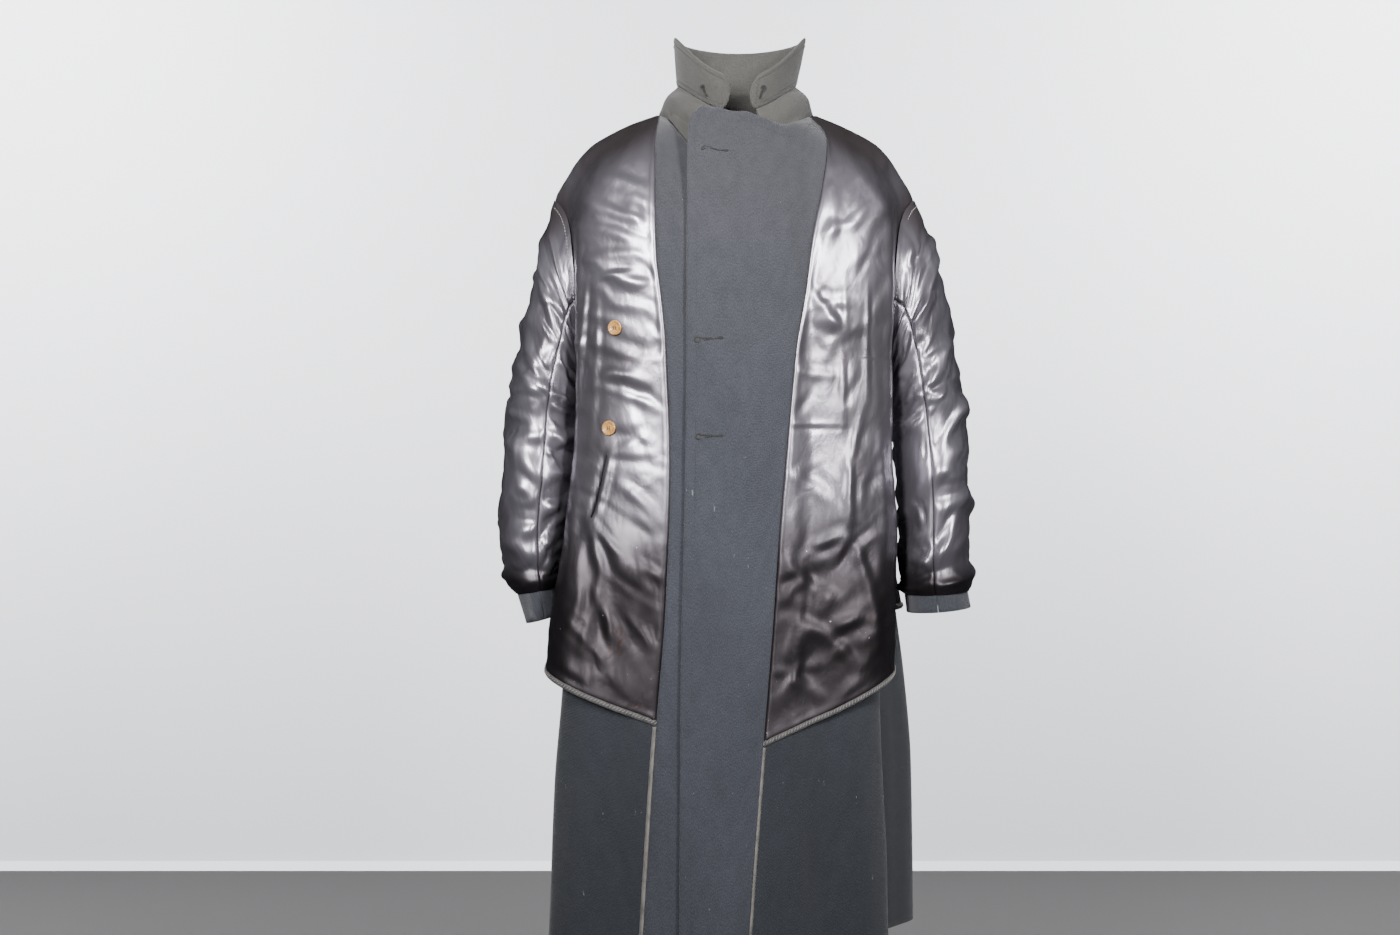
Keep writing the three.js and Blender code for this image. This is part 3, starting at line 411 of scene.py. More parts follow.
def shell(name, outer, inner, uv):
    """A closed wall between two grids of points in millimetres, with the cloth's own UV map in metres."""
    rows, columns = outer.shape[:2]
    count = rows * columns
    verts = np.concatenate([outer.reshape(-1, 3), inner.reshape(-1, 3)]) * MM
    faces = [grid_faces(rows, columns), grid_faces(rows, columns, count, True)]
    rim = np.concatenate([np.arange(columns), columns * np.arange(1, rows) + columns - 1,
                          (rows - 1) * columns + np.arange(columns - 2, -1, -1),
                          columns * np.arange(rows - 2, 0, -1)])
    after = np.roll(rim, -1)
    faces.append(np.stack([rim, after, after + count, rim + count], -1))
    faces = np.concatenate(faces)
    a, b, c, d = (verts[faces[:, k]] for k in range(4))
    if (np.cross(c - a, d - b) * ((a + b + c + d) / 4)).sum() < 0:
        faces = faces[:, ::-1]
    mesh = bpy.data.meshes.new(name)
    mesh.from_pydata(verts.tolist(), [], faces.tolist())
    layer = mesh.uv_layers.new(name="cloth")
    flat = np.concatenate([uv.reshape(-1, 2)] * 2) * MM
    layer.data.foreach_set("uv", flat[faces.ravel()].ravel())
    mesh.polygons.foreach_set("use_smooth", np.ones(len(faces), bool))
    mesh.update()
    return add_object(name, mesh)


def lengths(points):
    """Running length along each row and each column of a grid."""
    across = np.linalg.norm(np.diff(points, axis=1), axis=-1)
    down = np.linalg.norm(np.diff(points, axis=0), axis=-1)
    u = np.concatenate([np.zeros((points.shape[0], 1)), np.cumsum(across, 1)], 1)
    v = np.concatenate([np.zeros((1, points.shape[1])), np.cumsum(down, 0)], 0)
    return np.stack([u, -v], -1)


def flat_size(points):
    """Width, length and area of a grid before it was creased."""
    run = lengths(points)
    width, length = run[..., 0].max() * MM, -run[..., 1].min() * MM
    a, b, c, d = points[:-1, :-1], points[1:, :-1], points[1:, 1:], points[:-1, 1:]
    area = 0.5 * np.linalg.norm(np.cross(c - a, d - b), axis=-1).sum() * MM * MM
    return width, length, area


SHEETS = []
CARRIED = {}


def finish_cloth(piece, points, material, nodes, rests_on):
    """Names a cloth's body, slot and solids, and keeps its flat size for declare_sheets."""
    piece.data.materials.append(material)
    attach(piece, "root")
    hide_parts(*nodes)
    SHEETS.append((piece, flat_size(points), rests_on))
    return piece


def finish_tape(piece, material, nodes, carrier):
    """A tape goes with the cloth whose edge it binds."""
    piece.data.materials.append(material)
    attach(piece, "root")
    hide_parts(*nodes)
    CARRIED.setdefault(carrier, []).append(piece)
    return piece


def declare_sheets():
    for piece, (width, length, area), rests_on in SHEETS:
        width, length = round(width, 3), round(length, 3)


def border(points):
    """Distance in millimetres from each point of a grid to its nearest edge, by columns and by rows."""
    run = lengths(points)
    u, v = run[..., 0], -run[..., 1]
    return u, u[:, -1:] - u, v, v[-1:, :] - v


def levels_for(step, low, high=0):
    return np.linspace(high, low, int(round((high - low) / step)) + 1)


def shares(width, step):
    return np.linspace(0, 1, max(4, int(round(width / step)) + 1))


# Materials

def new_material(name):
    material = bpy.data.materials.new(name)
    material.use_nodes = True
    tree = material.node_tree
    tree.nodes.clear()
    out = tree.nodes.new("ShaderNodeOutputMaterial")
    shader = tree.nodes.new("ShaderNodeBsdfPrincipled")
    tree.links.new(shader.outputs[0], out.inputs[0])
    return material, tree, shader


def node(tree, kind, inputs=(), **settings):
    """A node with its settings, and with plain values on the inputs named."""
    made = tree.nodes.new(kind)
    for key, value in settings.items():
        setattr(made, key, value)
    for socket, value in dict(inputs).items():
        made.inputs[socket].default_value = value
    return made


def colour_mix(tree, factor, a, b, blend="MIX"):
    made = node(tree, "ShaderNodeMix", data_type="RGBA", blend_type=blend)
    for socket, source in ((0, factor), (6, a), (7, b)):
        if isinstance(source, (int, float)):
            made.inputs[socket].default_value = source
        elif isinstance(source, tuple):
            made.inputs[socket].default_value = (*source, 1)
        else:
            tree.links.new(source, made.inputs[socket])
    return made.outputs[2]


def maths(tree, operation, *sources, clamp=False):
    made = node(tree, "ShaderNodeMath", operation=operation, use_clamp=clamp)
    for k, source in enumerate(sources):
        if isinstance(source, (int, float)):
            made.inputs[k].default_value = source
        else:
            tree.links.new(source, made.inputs[k])
    return made.outputs[0]


def noise(tree, vector, scale, detail=3.0, rough=0.5, distortion=0.0):
    made = node(tree, "ShaderNodeTexNoise", inputs={"Scale": scale, "Detail": detail, "Roughness": rough,
                                                    "Distortion": distortion})
    tree.links.new(vector, made.inputs["Vector"])
    return made.outputs["Fac"]


def stretch(tree, vector, scale):
    made = node(tree, "ShaderNodeMapping", inputs={"Scale": scale})
    tree.links.new(vector, made.inputs["Vector"])
    return made.outputs[0]


def ramp(tree, value, low, high):
    made = node(tree, "ShaderNodeMapRange", interpolation_type="SMOOTHSTEP",
                inputs={"From Min": low, "From Max": high})
    tree.links.new(value, made.inputs["Value"])
    return made.outputs["Result"]


def new_group(name, inputs, outputs):
    group = bpy.data.node_groups.new(name, "ShaderNodeTree")
    kinds = {"colour": "NodeSocketColor", "value": "NodeSocketFloat", "vector": "NodeSocketVector"}
    for label, kind, default in inputs:
        socket = group.interface.new_socket(name=label, in_out="INPUT", socket_type=kinds[kind])
        if default is not None:
            socket.default_value = default
    for label, kind in outputs:
        group.interface.new_socket(name=label, in_out="OUTPUT", socket_type=kinds[kind])
    return group, group.nodes.new("NodeGroupInput"), group.nodes.new("NodeGroupOutput")


def nap_group():
    """Milled wool: fine upright grain, mottled nap and a few light fibres."""
    group, gin, gout = new_group("Wool nap", (
        ("Cloth", "vector", None), ("Ground", "colour", (0.1, 0.1, 0.1, 1)),
        ("Fibre", "colour", (0.3, 0.3, 0.3, 1)), ("Mottle", "value", 0.5)),
        (("Colour", "colour"), ("Roughness", "value"), ("Height", "value")))
    cloth = gin.outputs["Cloth"]
    grain = noise(group, stretch(group, cloth, (1050, 420, 1)), 1.0, 2.0, 0.6)
    twill = node(group, "ShaderNodeTexWave", wave_type="BANDS", bands_direction="DIAGONAL",
                 inputs={"Scale": 190.0, "Distortion": 2.0, "Detail": 1.0, "Detail Scale": 1.5})
    group.links.new(cloth, twill.inputs["Vector"])
    mottle = noise(group, stretch(group, cloth, (70, 42, 1)), 1.0, 5.0, 0.65, 0.4)
    broad = noise(group, stretch(group, cloth, (7, 4, 1)), 1.0, 3.0, 0.55)
    height = maths(group, "ADD", maths(group, "MULTIPLY", grain, 0.7),
                   maths(group, "MULTIPLY", twill.outputs["Fac"], 0.25))
    light = maths(group, "MULTIPLY", ramp(group, grain, 0.3, 0.75), 0.6)
    patch = maths(group, "MULTIPLY", maths(group, "SUBTRACT", mottle, 0.45), gin.outputs["Mottle"])
    factor = maths(group, "ADD", light, patch, clamp=True)
    shade = maths(group, "MULTIPLY_ADD", broad, 0.5, 0.74)
    lint = ramp(group, noise(group, stretch(group, cloth, (160, 60, 1)), 1.0, 2.0, 0.5, 1.5), 0.755, 0.79)
    tone = colour_mix(group, factor, gin.outputs["Ground"], gin.outputs["Fibre"])
    grey = node(group, "ShaderNodeCombineColor")
    for k in range(3):
        group.links.new(shade, grey.inputs[k])
    tone = colour_mix(group, 1.0, tone, grey.outputs[0], "MULTIPLY")
    tone = colour_mix(group, maths(group, "MULTIPLY", lint, 0.3), tone, (0.5, 0.48, 0.45))
    group.links.new(tone, gout.inputs["Colour"])
    group.links.new(maths(group, "MULTIPLY_ADD", mottle, 0.12, 0.84), gout.inputs["Roughness"])
    group.links.new(height, gout.inputs["Height"])
    return group


def use_group(tree, group, **values):
    made = tree.nodes.new("ShaderNodeGroup")
    made.node_tree = group
    for key, value in values.items():
        made.inputs[key.replace("_", " ")].default_value = (*value, 1) if isinstance(value, tuple) else value
    return made


def cloth_map(tree):
    return node(tree, "ShaderNodeUVMap", uv_map="cloth").outputs[0]


def bump(tree, shader, height, strength, distance):
    made = node(tree, "ShaderNodeBump", inputs={"Strength": strength, "Distance": distance})
    tree.links.new(height, made.inputs["Height"])
    tree.links.new(made.outputs[0], shader.inputs["Normal"])


def wool_material(name, group, ground, fibre, mottle=0.5, painted_top_light=False):
    material, tree, shader = new_material(name)
    nap = use_group(tree, group, Ground=ground, Fibre=fibre, Mottle=mottle)
    tree.links.new(cloth_map(tree), nap.inputs["Cloth"])
    colour = nap.outputs["Colour"]
    if painted_top_light:
        # painted light: the cloth's top is coloured lighter and warmer
        place = node(tree, "ShaderNodeTexCoord").outputs["Object"]
        split = node(tree, "ShaderNodeSeparateXYZ")
        tree.links.new(place, split.inputs[0])
        high = ramp(tree, split.outputs["Z"], -0.5, -0.04)
        colour = colour_mix(tree, maths(tree, "MULTIPLY", high, 0.85), colour,
                            colour_mix(tree, 1.0, colour, PAINTED_TOP_LIGHT, "MULTIPLY"))
    tree.links.new(colour, shader.inputs["Base Color"])
    tree.links.new(nap.outputs["Roughness"], shader.inputs["Roughness"])
    shader.inputs["Sheen Weight"].default_value = 0.2
    shader.inputs["Sheen Roughness"].default_value = 0.5
    shader.inputs["Specular IOR Level"].default_value = 0.2
    bump(tree, shader, nap.outputs["Height"], 0.7, 0.0014)
    return material


# painted light: the facings are coloured lighter and warmer towards the neck, where more light falls on them
PAINTED_TOP_LIGHT = (1.14, 1.08, 1.0)


def near_spot(tree, place, centre, reach, edge=0.5):
    """1 inside a soft ball round a place in metres, 0 outside."""
    away = node(tree, "ShaderNodeVectorMath", operation="DISTANCE")
    tree.links.new(place, away.inputs[0])
    away.inputs[1].default_value = centre
    made = node(tree, "ShaderNodeMapRange", interpolation_type="SMOOTHSTEP",
                inputs={"From Min": reach, "From Max": reach * edge})
    tree.links.new(away.outputs["Value"], made.inputs["Value"])
    return made.outputs["Result"]


def spots(tree, place, rows, edge):
    """1 inside any of the soft balls in a table of (x, y, z, reach)."""
    inside = None
    for x, y, z, reach in rows:
        mask = near_spot(tree, place, (x, y, z), reach, edge)
        inside = mask if inside is None else maths(tree, "MAXIMUM", inside, mask)
    return inside


# place across, out and up in metres, and reach, of the rusty wear marks
STAINS = ((-0.145, -0.12, -0.665, 0.03), (-0.12, -0.125, -0.75, 0.028), (0.165, -0.1, -0.632, 0.03),
          (0.185, -0.09, -0.705, 0.022), (-0.205, -0.08, -0.62, 0.025))
# the shoulders, where the satin is painted dark brown as painted shade
SHOULDER_SHADE = ((-0.15, -0.02, -0.01, 0.12), (0.15, -0.02, -0.01, 0.12), (-0.235, 0.0, -0.13, 0.07),
           (0.235, 0.0, -0.13, 0.07))


# heights in metres between which the body's and the sleeves' satin is painted darker and browner: painted
# shade towards the foot
PAINTED_SHADE_HEIGHTS = {"body": (-0.4, -0.6), "sleeve": (-0.565, -0.6)}
FOOT_SHADE = (0.11, 0.097, 0.095)


def satin_group():
    """Lining satin: crosswise thread, broad uneven dye, painted shade on the shoulders, rusty wear and
    painted shade towards its foot.
    """
    group, gin, gout = new_group("Worn satin", (
        ("Cloth", "vector", None), ("Place", "vector", None), ("Tone", "colour", (0.3, 0.3, 0.3, 1)),
        ("Deep", "colour", (0.15, 0.15, 0.15, 1)), ("Age", "value", 1.0), ("Soiled From", "value", -0.4),
        ("Soiled To", "value", -0.66)), (("Colour", "colour"), ("Roughness", "value"), ("Height", "value")))
    cloth, place = gin.outputs["Cloth"], gin.outputs["Place"]
    broad = noise(group, stretch(group, cloth, (8, 4, 1)), 1.0, 4.0, 0.6, 0.5)
    thread = noise(group, stretch(group, cloth, (60, 1500, 1)), 1.0, 2.0, 0.5)
    fine = noise(group, stretch(group, cloth, (30, 20, 1)), 1.0, 2.0, 0.5, 0.8)
    small = noise(group, stretch(group, cloth, (110, 60, 1)), 1.0, 2.0, 0.5, 0.6)
    colour = colour_mix(group, ramp(group, broad, 0.32, 0.68), gin.outputs["Deep"], gin.outputs["Tone"])
    colour = colour_mix(group, maths(group, "MULTIPLY", thread, 0.1), colour, (0.42, 0.4, 0.45))
    # painted shade: the shoulders' satin darkened to brown; the same input also sets the real rust
    shoulder_shade = spots(group, place, SHOULDER_SHADE, 0.3)
    shoulder_shade = maths(group, "MULTIPLY", maths(group, "MULTIPLY", shoulder_shade, 0.6), gin.outputs["Age"])
    colour = colour_mix(group, shoulder_shade, colour, (0.10, 0.07, 0.055))
    blot = ramp(group, noise(group, place, 90.0, 4.0, 0.6), 0.5, 0.68)
    rust = maths(group, "MULTIPLY", maths(group, "MULTIPLY", spots(group, place, STAINS, 0.1), blot), 0.75)
    rust = maths(group, "MULTIPLY", rust, gin.outputs["Age"])
    colour = colour_mix(group, rust, colour, (0.22, 0.085, 0.035))
    split = node(group, "ShaderNodeSeparateXYZ")
    group.links.new(place, split.inputs[0])
    low = node(group, "ShaderNodeMapRange", interpolation_type="SMOOTHSTEP")
    group.links.new(split.outputs["Z"], low.inputs["Value"])
    group.links.new(gin.outputs["Soiled From"], low.inputs["From Min"])
    group.links.new(gin.outputs["Soiled To"], low.inputs["From Max"])
    low = low.outputs["Result"]
    # painted shade: the satin darkened towards its foot
    colour = colour_mix(group, maths(group, "MULTIPLY", low, 0.94), colour,
                        colour_mix(group, 1.0, colour, FOOT_SHADE, "MULTIPLY"))
    speck = ramp(group, noise(group, stretch(group, cloth, (210, 190, 1)), 1.0, 1.0, 0.4), 0.775, 0.8)
    colour = colour_mix(group, maths(group, "MULTIPLY", speck, 0.3), colour, (0.75, 0.72, 0.68))
    group.links.new(colour, gout.inputs["Colour"])
    rough = maths(group, "MULTIPLY_ADD", low, 0.12, maths(group, "MULTIPLY_ADD", fine, 0.14, 0.25))
    group.links.new(rough, gout.inputs["Roughness"])
    height = maths(group, "ADD", fine, maths(group, "ADD", maths(group, "MULTIPLY", small, 0.22),
                                             maths(group, "MULTIPLY", thread, 0.05)))
    group.links.new(height, gout.inputs["Height"])
    return group


def satin_material(name, group, tone, deep, rust_and_shade=1.0, kind="body"):
    material, tree, shader = new_material(name)
    dark_from, dark_to = PAINTED_SHADE_HEIGHTS[kind]
    satin = use_group(tree, group, Tone=tone, Deep=deep, Age=rust_and_shade, Soiled_From=dark_from,
                      Soiled_To=dark_to)
    tree.links.new(cloth_map(tree), satin.inputs["Cloth"])
    tree.links.new(node(tree, "ShaderNodeTexCoord").outputs["Object"], satin.inputs["Place"])
    tree.links.new(satin.outputs["Colour"], shader.inputs["Base Color"])
    tree.links.new(satin.outputs["Roughness"], shader.inputs["Roughness"])
    shader.inputs["Metallic"].default_value = 0.8
    shader.inputs["Specular IOR Level"].default_value = 0.6
    bump(tree, shader, satin.outputs["Height"], 0.4, 0.0022)
    return material


def tape_group():
    """Narrow woven tape, rubbed paler in patches."""
    group, gin, gout = new_group("Worn tape", (
        ("Cloth", "vector", None), ("Tone", "colour", (0.2, 0.2, 0.2, 1)),
        ("Deep", "colour", (0.1, 0.1, 0.1, 1))),
        (("Colour", "colour"), ("Roughness", "value"), ("Height", "value")))
    cloth = gin.outputs["Cloth"]
    weave = noise(group, stretch(group, cloth, (500, 700, 1)), 1.0, 2.0, 0.5)
    worn = noise(group, stretch(group, cloth, (90, 60, 1)), 1.0, 4.0, 0.6)
    colour = colour_mix(group, ramp(group, worn, 0.35, 0.7), gin.outputs["Tone"], gin.outputs["Deep"])
    group.links.new(colour, gout.inputs["Colour"])
    group.links.new(maths(group, "MULTIPLY_ADD", weave, 0.2, 0.6), gout.inputs["Roughness"])
    group.links.new(weave, gout.inputs["Height"])
    return group


def tape_material(name, group, tone):
    material, tree, shader = new_material(name)
    tape = use_group(tree, group, Tone=tone, Deep=tuple(0.55 * c for c in tone))
    tree.links.new(cloth_map(tree), tape.inputs["Cloth"])
    tree.links.new(tape.outputs["Colour"], shader.inputs["Base Color"])
    tree.links.new(tape.outputs["Roughness"], shader.inputs["Roughness"])
    shader.inputs["Sheen Weight"].default_value = 0.2
    bump(tree, shader, tape.outputs["Height"], 0.6, 0.0008)
    return material


def horn_material(name):
    material, tree, shader = new_material(name)
    place = node(tree, "ShaderNodeTexCoord").outputs["Object"]
    streak = noise(tree, stretch(tree, place, (260, 120, 420)), 1.0, 4.0, 0.6, 1.5)
    colour = colour_mix(tree, ramp(tree, streak, 0.35, 0.7), (0.62, 0.34, 0.1), (0.3, 0.13, 0.035))
    tree.links.new(colour, shader.inputs["Base Color"])
    tree.links.new(maths(tree, "MULTIPLY_ADD", streak, 0.25, 0.22), shader.inputs["Roughness"])
    shader.inputs["Coat Weight"].default_value = 0.3
    return material


def thread_group():
    """Twisted sewing thread."""
    group, gin, gout = new_group("Sewing thread", (
        ("Place", "vector", None), ("Tone", "colour", (0.2, 0.2, 0.2, 1)),
        ("Deep", "colour", (0.1, 0.1, 0.1, 1))),
        (("Colour", "colour"), ("Height", "value")))
    ply = noise(group, gin.outputs["Place"], 1800.0, 2.0, 0.5)
    group.links.new(colour_mix(group, ply, gin.outputs["Tone"], gin.outputs["Deep"]), gout.inputs["Colour"])
    group.links.new(ply, gout.inputs["Height"])
    return group


def thread_material(name, group, tone):
    material, tree, shader = new_material(name)
    thread = use_group(tree, group, Tone=tone, Deep=tuple(0.5 * c for c in tone))
    tree.links.new(node(tree, "ShaderNodeTexCoord").outputs["Object"], thread.inputs["Place"])
    tree.links.new(thread.outputs["Colour"], shader.inputs["Base Color"])
    shader.inputs["Roughness"].default_value = 0.7
    bump(tree, shader, thread.outputs["Height"], 0.4, 0.0005)
    return material


NAP = nap_group()
SHELL_WOOL = wool_material("Outer wool", NAP, (0.022, 0.0245, 0.030), (0.054, 0.059, 0.070))
FACING_WOOL = wool_material("Facing wool", NAP, (0.034, 0.037, 0.046), (0.090, 0.095, 0.117),
                            painted_top_light=True)
COLLAR_WOOL = wool_material("Collar wool", NAP, (0.066, 0.064, 0.060), (0.133, 0.130, 0.121), 0.6)
SATIN_LOOK = satin_group()
LINING_SATIN = satin_material("Lining satin", SATIN_LOOK, (0.315, 0.298, 0.343),
                              (0.155, 0.141, 0.16))
# painted shade: near-black satin for the shaded pocket slit
SLIT_SHADE = satin_material("Pocket slit shade", SATIN_LOOK, (0.03, 0.027, 0.028),
                            (0.015, 0.013, 0.014), rust_and_shade=0.0)
# the sleeves' satin is the lining satin painted a little lighter, as painted light
SLEEVE_SATIN = satin_material("Sleeve satin", SATIN_LOOK, (0.34, 0.322, 0.37),
                              (0.165, 0.15, 0.172), kind="sleeve")
TAPE_LOOK = tape_group()
HEM_TAPE = tape_material("Hem binding", TAPE_LOOK, (0.10, 0.094, 0.094))
EDGE_TAPE = tape_material("Facing binding", TAPE_LOOK, (0.21, 0.198, 0.182))
HORN = horn_material("Button horn")
THREAD_LOOK = thread_group()
THREAD = thread_material("Pale thread", THREAD_LOOK, (0.33, 0.315, 0.30))
ARMHOLE_THREAD = thread_material("Armhole thread", THREAD_LOOK, (0.62, 0.6, 0.58))
BUTTONHOLE_THREAD = thread_material("Buttonhole thread", THREAD_LOOK, (0.05, 0.052, 0.052))
COLLAR_THREAD = thread_material("Collar thread", THREAD_LOOK, (0.075, 0.074, 0.07))
EDGE_THREAD = thread_material("Edge thread", THREAD_LOOK, (0.05, 0.055, 0.058))
# dark thread for the button bars, also the painted shade in the buttonhole slits
DARK_THREAD_AND_SLIT_SHADE = thread_material("Dark thread and slit shade", THREAD_LOOK, (0.035, 0.033, 0.033))

# Wool

# soft folds of the skirt: across and up at both ends, half-width, height, bend
SKIRT_CREASES = {
    "right": ((-146, -690, -152, -1100, 19, -6, 0), (-192, -720, -198, -1100, 17, 4, 0),
              (-168, -800, -160, -1100, 8, 1.6, 3)),
    "left": ((112, -720, 116, -1100, 8, -5, 0), (148, -700, 156, -1100, 21, 4.5, 0),
             (70, -800, 76, -1100, 14, 1.5, 3)),
}


def skirt_relief(side, points, level):
    """The skirt's folds and slow waves, from below the lining down, clear of the facing."""
    s, t = points[..., 0], points[..., 2]
    height = crease_relief(s, t, SKIRT_CREASES[side]) + swell(s, t, 5 if side == "left" else 7, 160, 0.8)
    return height * smooth((-690 - level) / 90)


def wool_front(side):
    levels = levels_for(STEP["wool"], HEM)
    share = shares(430, STEP["wool"])
    edge, seam = free_edge(side, levels), side_seam(side, levels)
    around = edge[:, None] + (seam - edge)[:, None] * share[None]
    level = np.repeat(levels[:, None], len(share), 1)
    clear = smooth((np.abs(around) - np.abs(facing_line(side, levels))[:, None] - 0.012) / 0.03)
    relief = clear * skirt_relief(side, LAY[side](around, level, WOOL), level)
    outer, inner = LAY[side](around, level, WOOL + relief), LAY[side](around, level, 0.0 + relief)
    piece = shell(f"wool_front_{side}", outer, inner, lengths(outer))
    return finish_cloth(piece, outer, SHELL_WOOL, [f"front_{side}"], ["wool_back_" + side])


def wool_back(side):
    levels = levels_for(STEP["wool"], HEM)
    share = shares(330, STEP["wool"])
    seam = 0.5 + armhole(levels) + SEAM
    around = HAND[side] * (seam[:, None] + (1 - SEAM - seam)[:, None] * share[None])
    level = np.repeat(levels[:, None], len(share), 1)
    outer, inner = on_body(around, level, WOOL), on_body(around, level, 0.0)
    piece = shell(f"wool_back_{side}", outer, inner, lengths(outer))
    return finish_cloth(piece, outer, SHELL_WOOL, [f"back_{side}"], ["lining_back_satin"])


def facing(side):
    """The facing rolls over the front's free edge, in half a turn of its own thickness."""
    levels = levels_for(STEP["facing"], HEM)
    share = shares(150, STEP["facing"])
    edge, far = free_edge(side, levels), facing_line(side, levels)
    around = edge[:, None] + (far - edge)[:, None] * share[None]
    level = np.repeat(levels[:, None], len(share), 1)
    top = WOOL + GAP + FACING
    s = around * 600
    relief = swell(s, level, 31 + HAND[side], 150, 0.5) + swell(s, level, 35, 60, 0.18)
    outer, inner = LAY[side](around, level, top + relief), LAY[side](around, level, WOOL + GAP + relief)
    ends = unit(outer[:, :1] - outer[:, 1:2])
    up = unit(outer[:, :1] - inner[:, :1])
    radius = top / 2
    roll_out, roll_in = [], []
    for angle in np.radians((165, 130, 95, 60, 30)):
        centre = outer[:, :1] - up * radius
        roll_out.append(centre + (ends * math.sin(angle) + up * math.cos(angle)) * radius)
        roll_in.append(centre + (ends * math.sin(angle) + up * math.cos(angle)) * (radius - 0.7))
    outer = np.concatenate(roll_out + [outer], 1)
    inner = np.concatenate(roll_in + [inner], 1)
    piece = shell(f"wool_facing_{side}", outer, inner, lengths(outer))
    return finish_cloth(piece, outer, FACING_WOOL, [f"facing_{side}"], [f"wool_front_{side}"])


# Body satin

# creases placed one by one on the right front's satin: across, up at both ends, half-width, height, bend
RIGHT_CREASES = (
    (-176, -86, -106, -112, 7, 1.6, 4), (-200, -112, -112, -146, 8, 1.8, -6),
    (-205, -150, -118, -176, 8, 1.6, 5), (-196, -196, -110, -192, 7, 1.5, 6),
    (-186, -222, -122, -210, 4, 1.6, 2), (-187, -222, -198, -368, 3, 2.0, 0),
    (-174, -228, -182, -420, 4, 1.0, 3), (-170, -250, -100, -262, 8, 1.4, 4),
    (-190, -292, -96, -318, 8, 1.7, -5), (-186, -330, -104, -352, 7, 1.5, 4),
    (-176, -352, -96, -384, 6, 1.4, 4), (-163, -432, -182, -512, 3.2, -2.6, 2),
    (-156, -436, -176, -514, 4, 1.7, 2), (-180, -517, -142, -562, 5, 1.8, -3),
    (-184, -520, -168, -602, 6, 1.8, 3), (-190, -522, -196, -620, 6, 1.6, -3),
    (-150, -470, -100, -520, 7, 1.4, 4), (-206, -470, -216, -640, 8, 2.0, 3),
    (-132, -560, -104, -640, 8, 1.8, 3), (-176, -600, -130, -690, 9, 2.0, -4),
    (-215, -640, -160, -700, 7, 1.6, 3),
)
# the same on the left front
LEFT_CREASES = (
    (118, -64, 96, -150, 9, 2.2, 5), (136, -62, 118, -170, 8, 1.6, -4), (150, -80, 190, -140, 9, 1.8, 4),
    (100, -170, 150, -150, 8, 1.5, 4), (83, -231, 131, -292, 7, 2.0, 4),
    (163, -234, 163, -365, 3, 1.9, 0), (131, -296, 132, -405, 3, 1.6, 0),
    (36, -405, 131, -405, 3, -1.5, 0), (78, -262, 150, -250, 7, 1.4, 5),
    (62, -330, 128, -338, 7, 1.4, -4), (132, -410, 136, -520, 4, 1.6, 3),
    (160, -369, 140, -534, 5, 2.4, -8), (136, -532, 112, -580, 6, 2.8, 3),
    (136, -534, 90, -548, 6, 1.8, 3), (138, -536, 160, -600, 7, 2.0, 4), (60, -460, 120, -500, 8, 1.6, 4),
    (54, -560, 122, -620, 9, 2.2, -6), (70, -640, 150, -700, 8, 2.2, 5), (40, -700, 110, -742, 8, 1.6, 4),
    (150, -560, 178, -690, 8, 2.2, 4), (176, -380, 186, -560, 6, 1.6, 3),
    (110, -660, 168, -640, 7, 1.6, 5),
)


# the small creases from the top down: count, up, lean of each side, spread, length, half-width, height
FRONT_SCATTER = (
    (46, (-300, -60), {"right": -22, "left": 60}, 22, (40, 110), (4, 9), (0.2, 0.8)),
    (60, (-560, -280), {"right": -8, "left": 66}, 30, (40, 120), (4, 9), (0.2, 0.75)),
    (62, (-780, -540), {"right": -60, "left": 48}, 24, (50, 140), (5, 10), (0.3, 1.2)),
)


def lining_hang(flare, share, level, hem):
    """How far a front lining stands off the wool, more towards its hem and less at the side seam."""
    spread = smooth(share * 2.2) * (1 - 0.75 * smooth((share - 0.68) / 0.32))
    return flare * spread * smooth((FLARE_START - level) / (FLARE_START - hem))


def front_satin(side):
    flare, line = LINING_HEM[side]
    rows = int(round(780 / STEP["satin"]))
    share = shares(225, STEP["satin"])
    hem = curve(line, share)
    level = hem[None] * np.linspace(0, 1, rows)[:, None]
    near = np.stack([facing_line(side, level[:, c]) for c in range(0, len(share), 8)] + [
        facing_line(side, level[:, -1])], 1)
    at = list(range(0, len(share), 8)) + [len(share) - 1]
    near = np.stack([np.interp(np.arange(len(share)), at, row) for row in near]) + HAND[side] * SEAM
    seam = side_seam(side, level)
    around = near + (seam - near) * share[None]
    hang = lining_hang(flare, share, level, hem)
    bottom = WOOL + GAP + hang
    flat = LAY[side](around, level, bottom + SATIN)
    left, right, top, low = border(flat)
    edge = smooth(share * 8)[None] * smooth((1 - share) * 8)[None] * smooth(-level / 30) \
        * smooth((level - hem[None]) / 20)
    s, t = flat[..., 0], flat[..., 2]
    rows_here = list(RIGHT_CREASES if side == "right" else LEFT_CREASES)
    wide = (-235, -85) if side == "right" else (30, 215)
    seed = 11 if side == "right" else 23
    for k, (count, span, leans, spread, length, width, depth) in enumerate(FRONT_SCATTER):
        rows_here += scattered(seed + k, count, wide, span, leans[side], spread, length, width, depth)
    relief = crease_relief(s, t, rows_here) + swell(s, t, seed + 3, 120, 0.9)
    relief = relief + swell(s, t, seed + 4, 50, 0.18)
    free = smooth(left / 14) * smooth(right / 10) * smooth(top / 10) * mix(0.35, 1, smooth(low / 14))
    lift = edge * satin_fold(around, level) + np.maximum(relief, -1.0 - hang) * free
    lift = lift + 1.2 * np.exp(-((left - 4) / 4) ** 2) + 0.8 * np.exp(-((low - 4) / 4) ** 2)
    fall = 0.8 * (1 - smooth(left / 2.5)) + 0.8 * (1 - smooth(right / 3))
    outer = LAY[side](around, level, bottom + SATIN + lift - fall)
    inner = LAY[side](around, level, bottom + lift - fall)
    piece = shell(f"satin_front_{side}", outer, inner, lengths(flat))
    return finish_cloth(piece, flat, LINING_SATIN, [f"lining_front_{side}"],
                        [f"wool_front_{side}"])


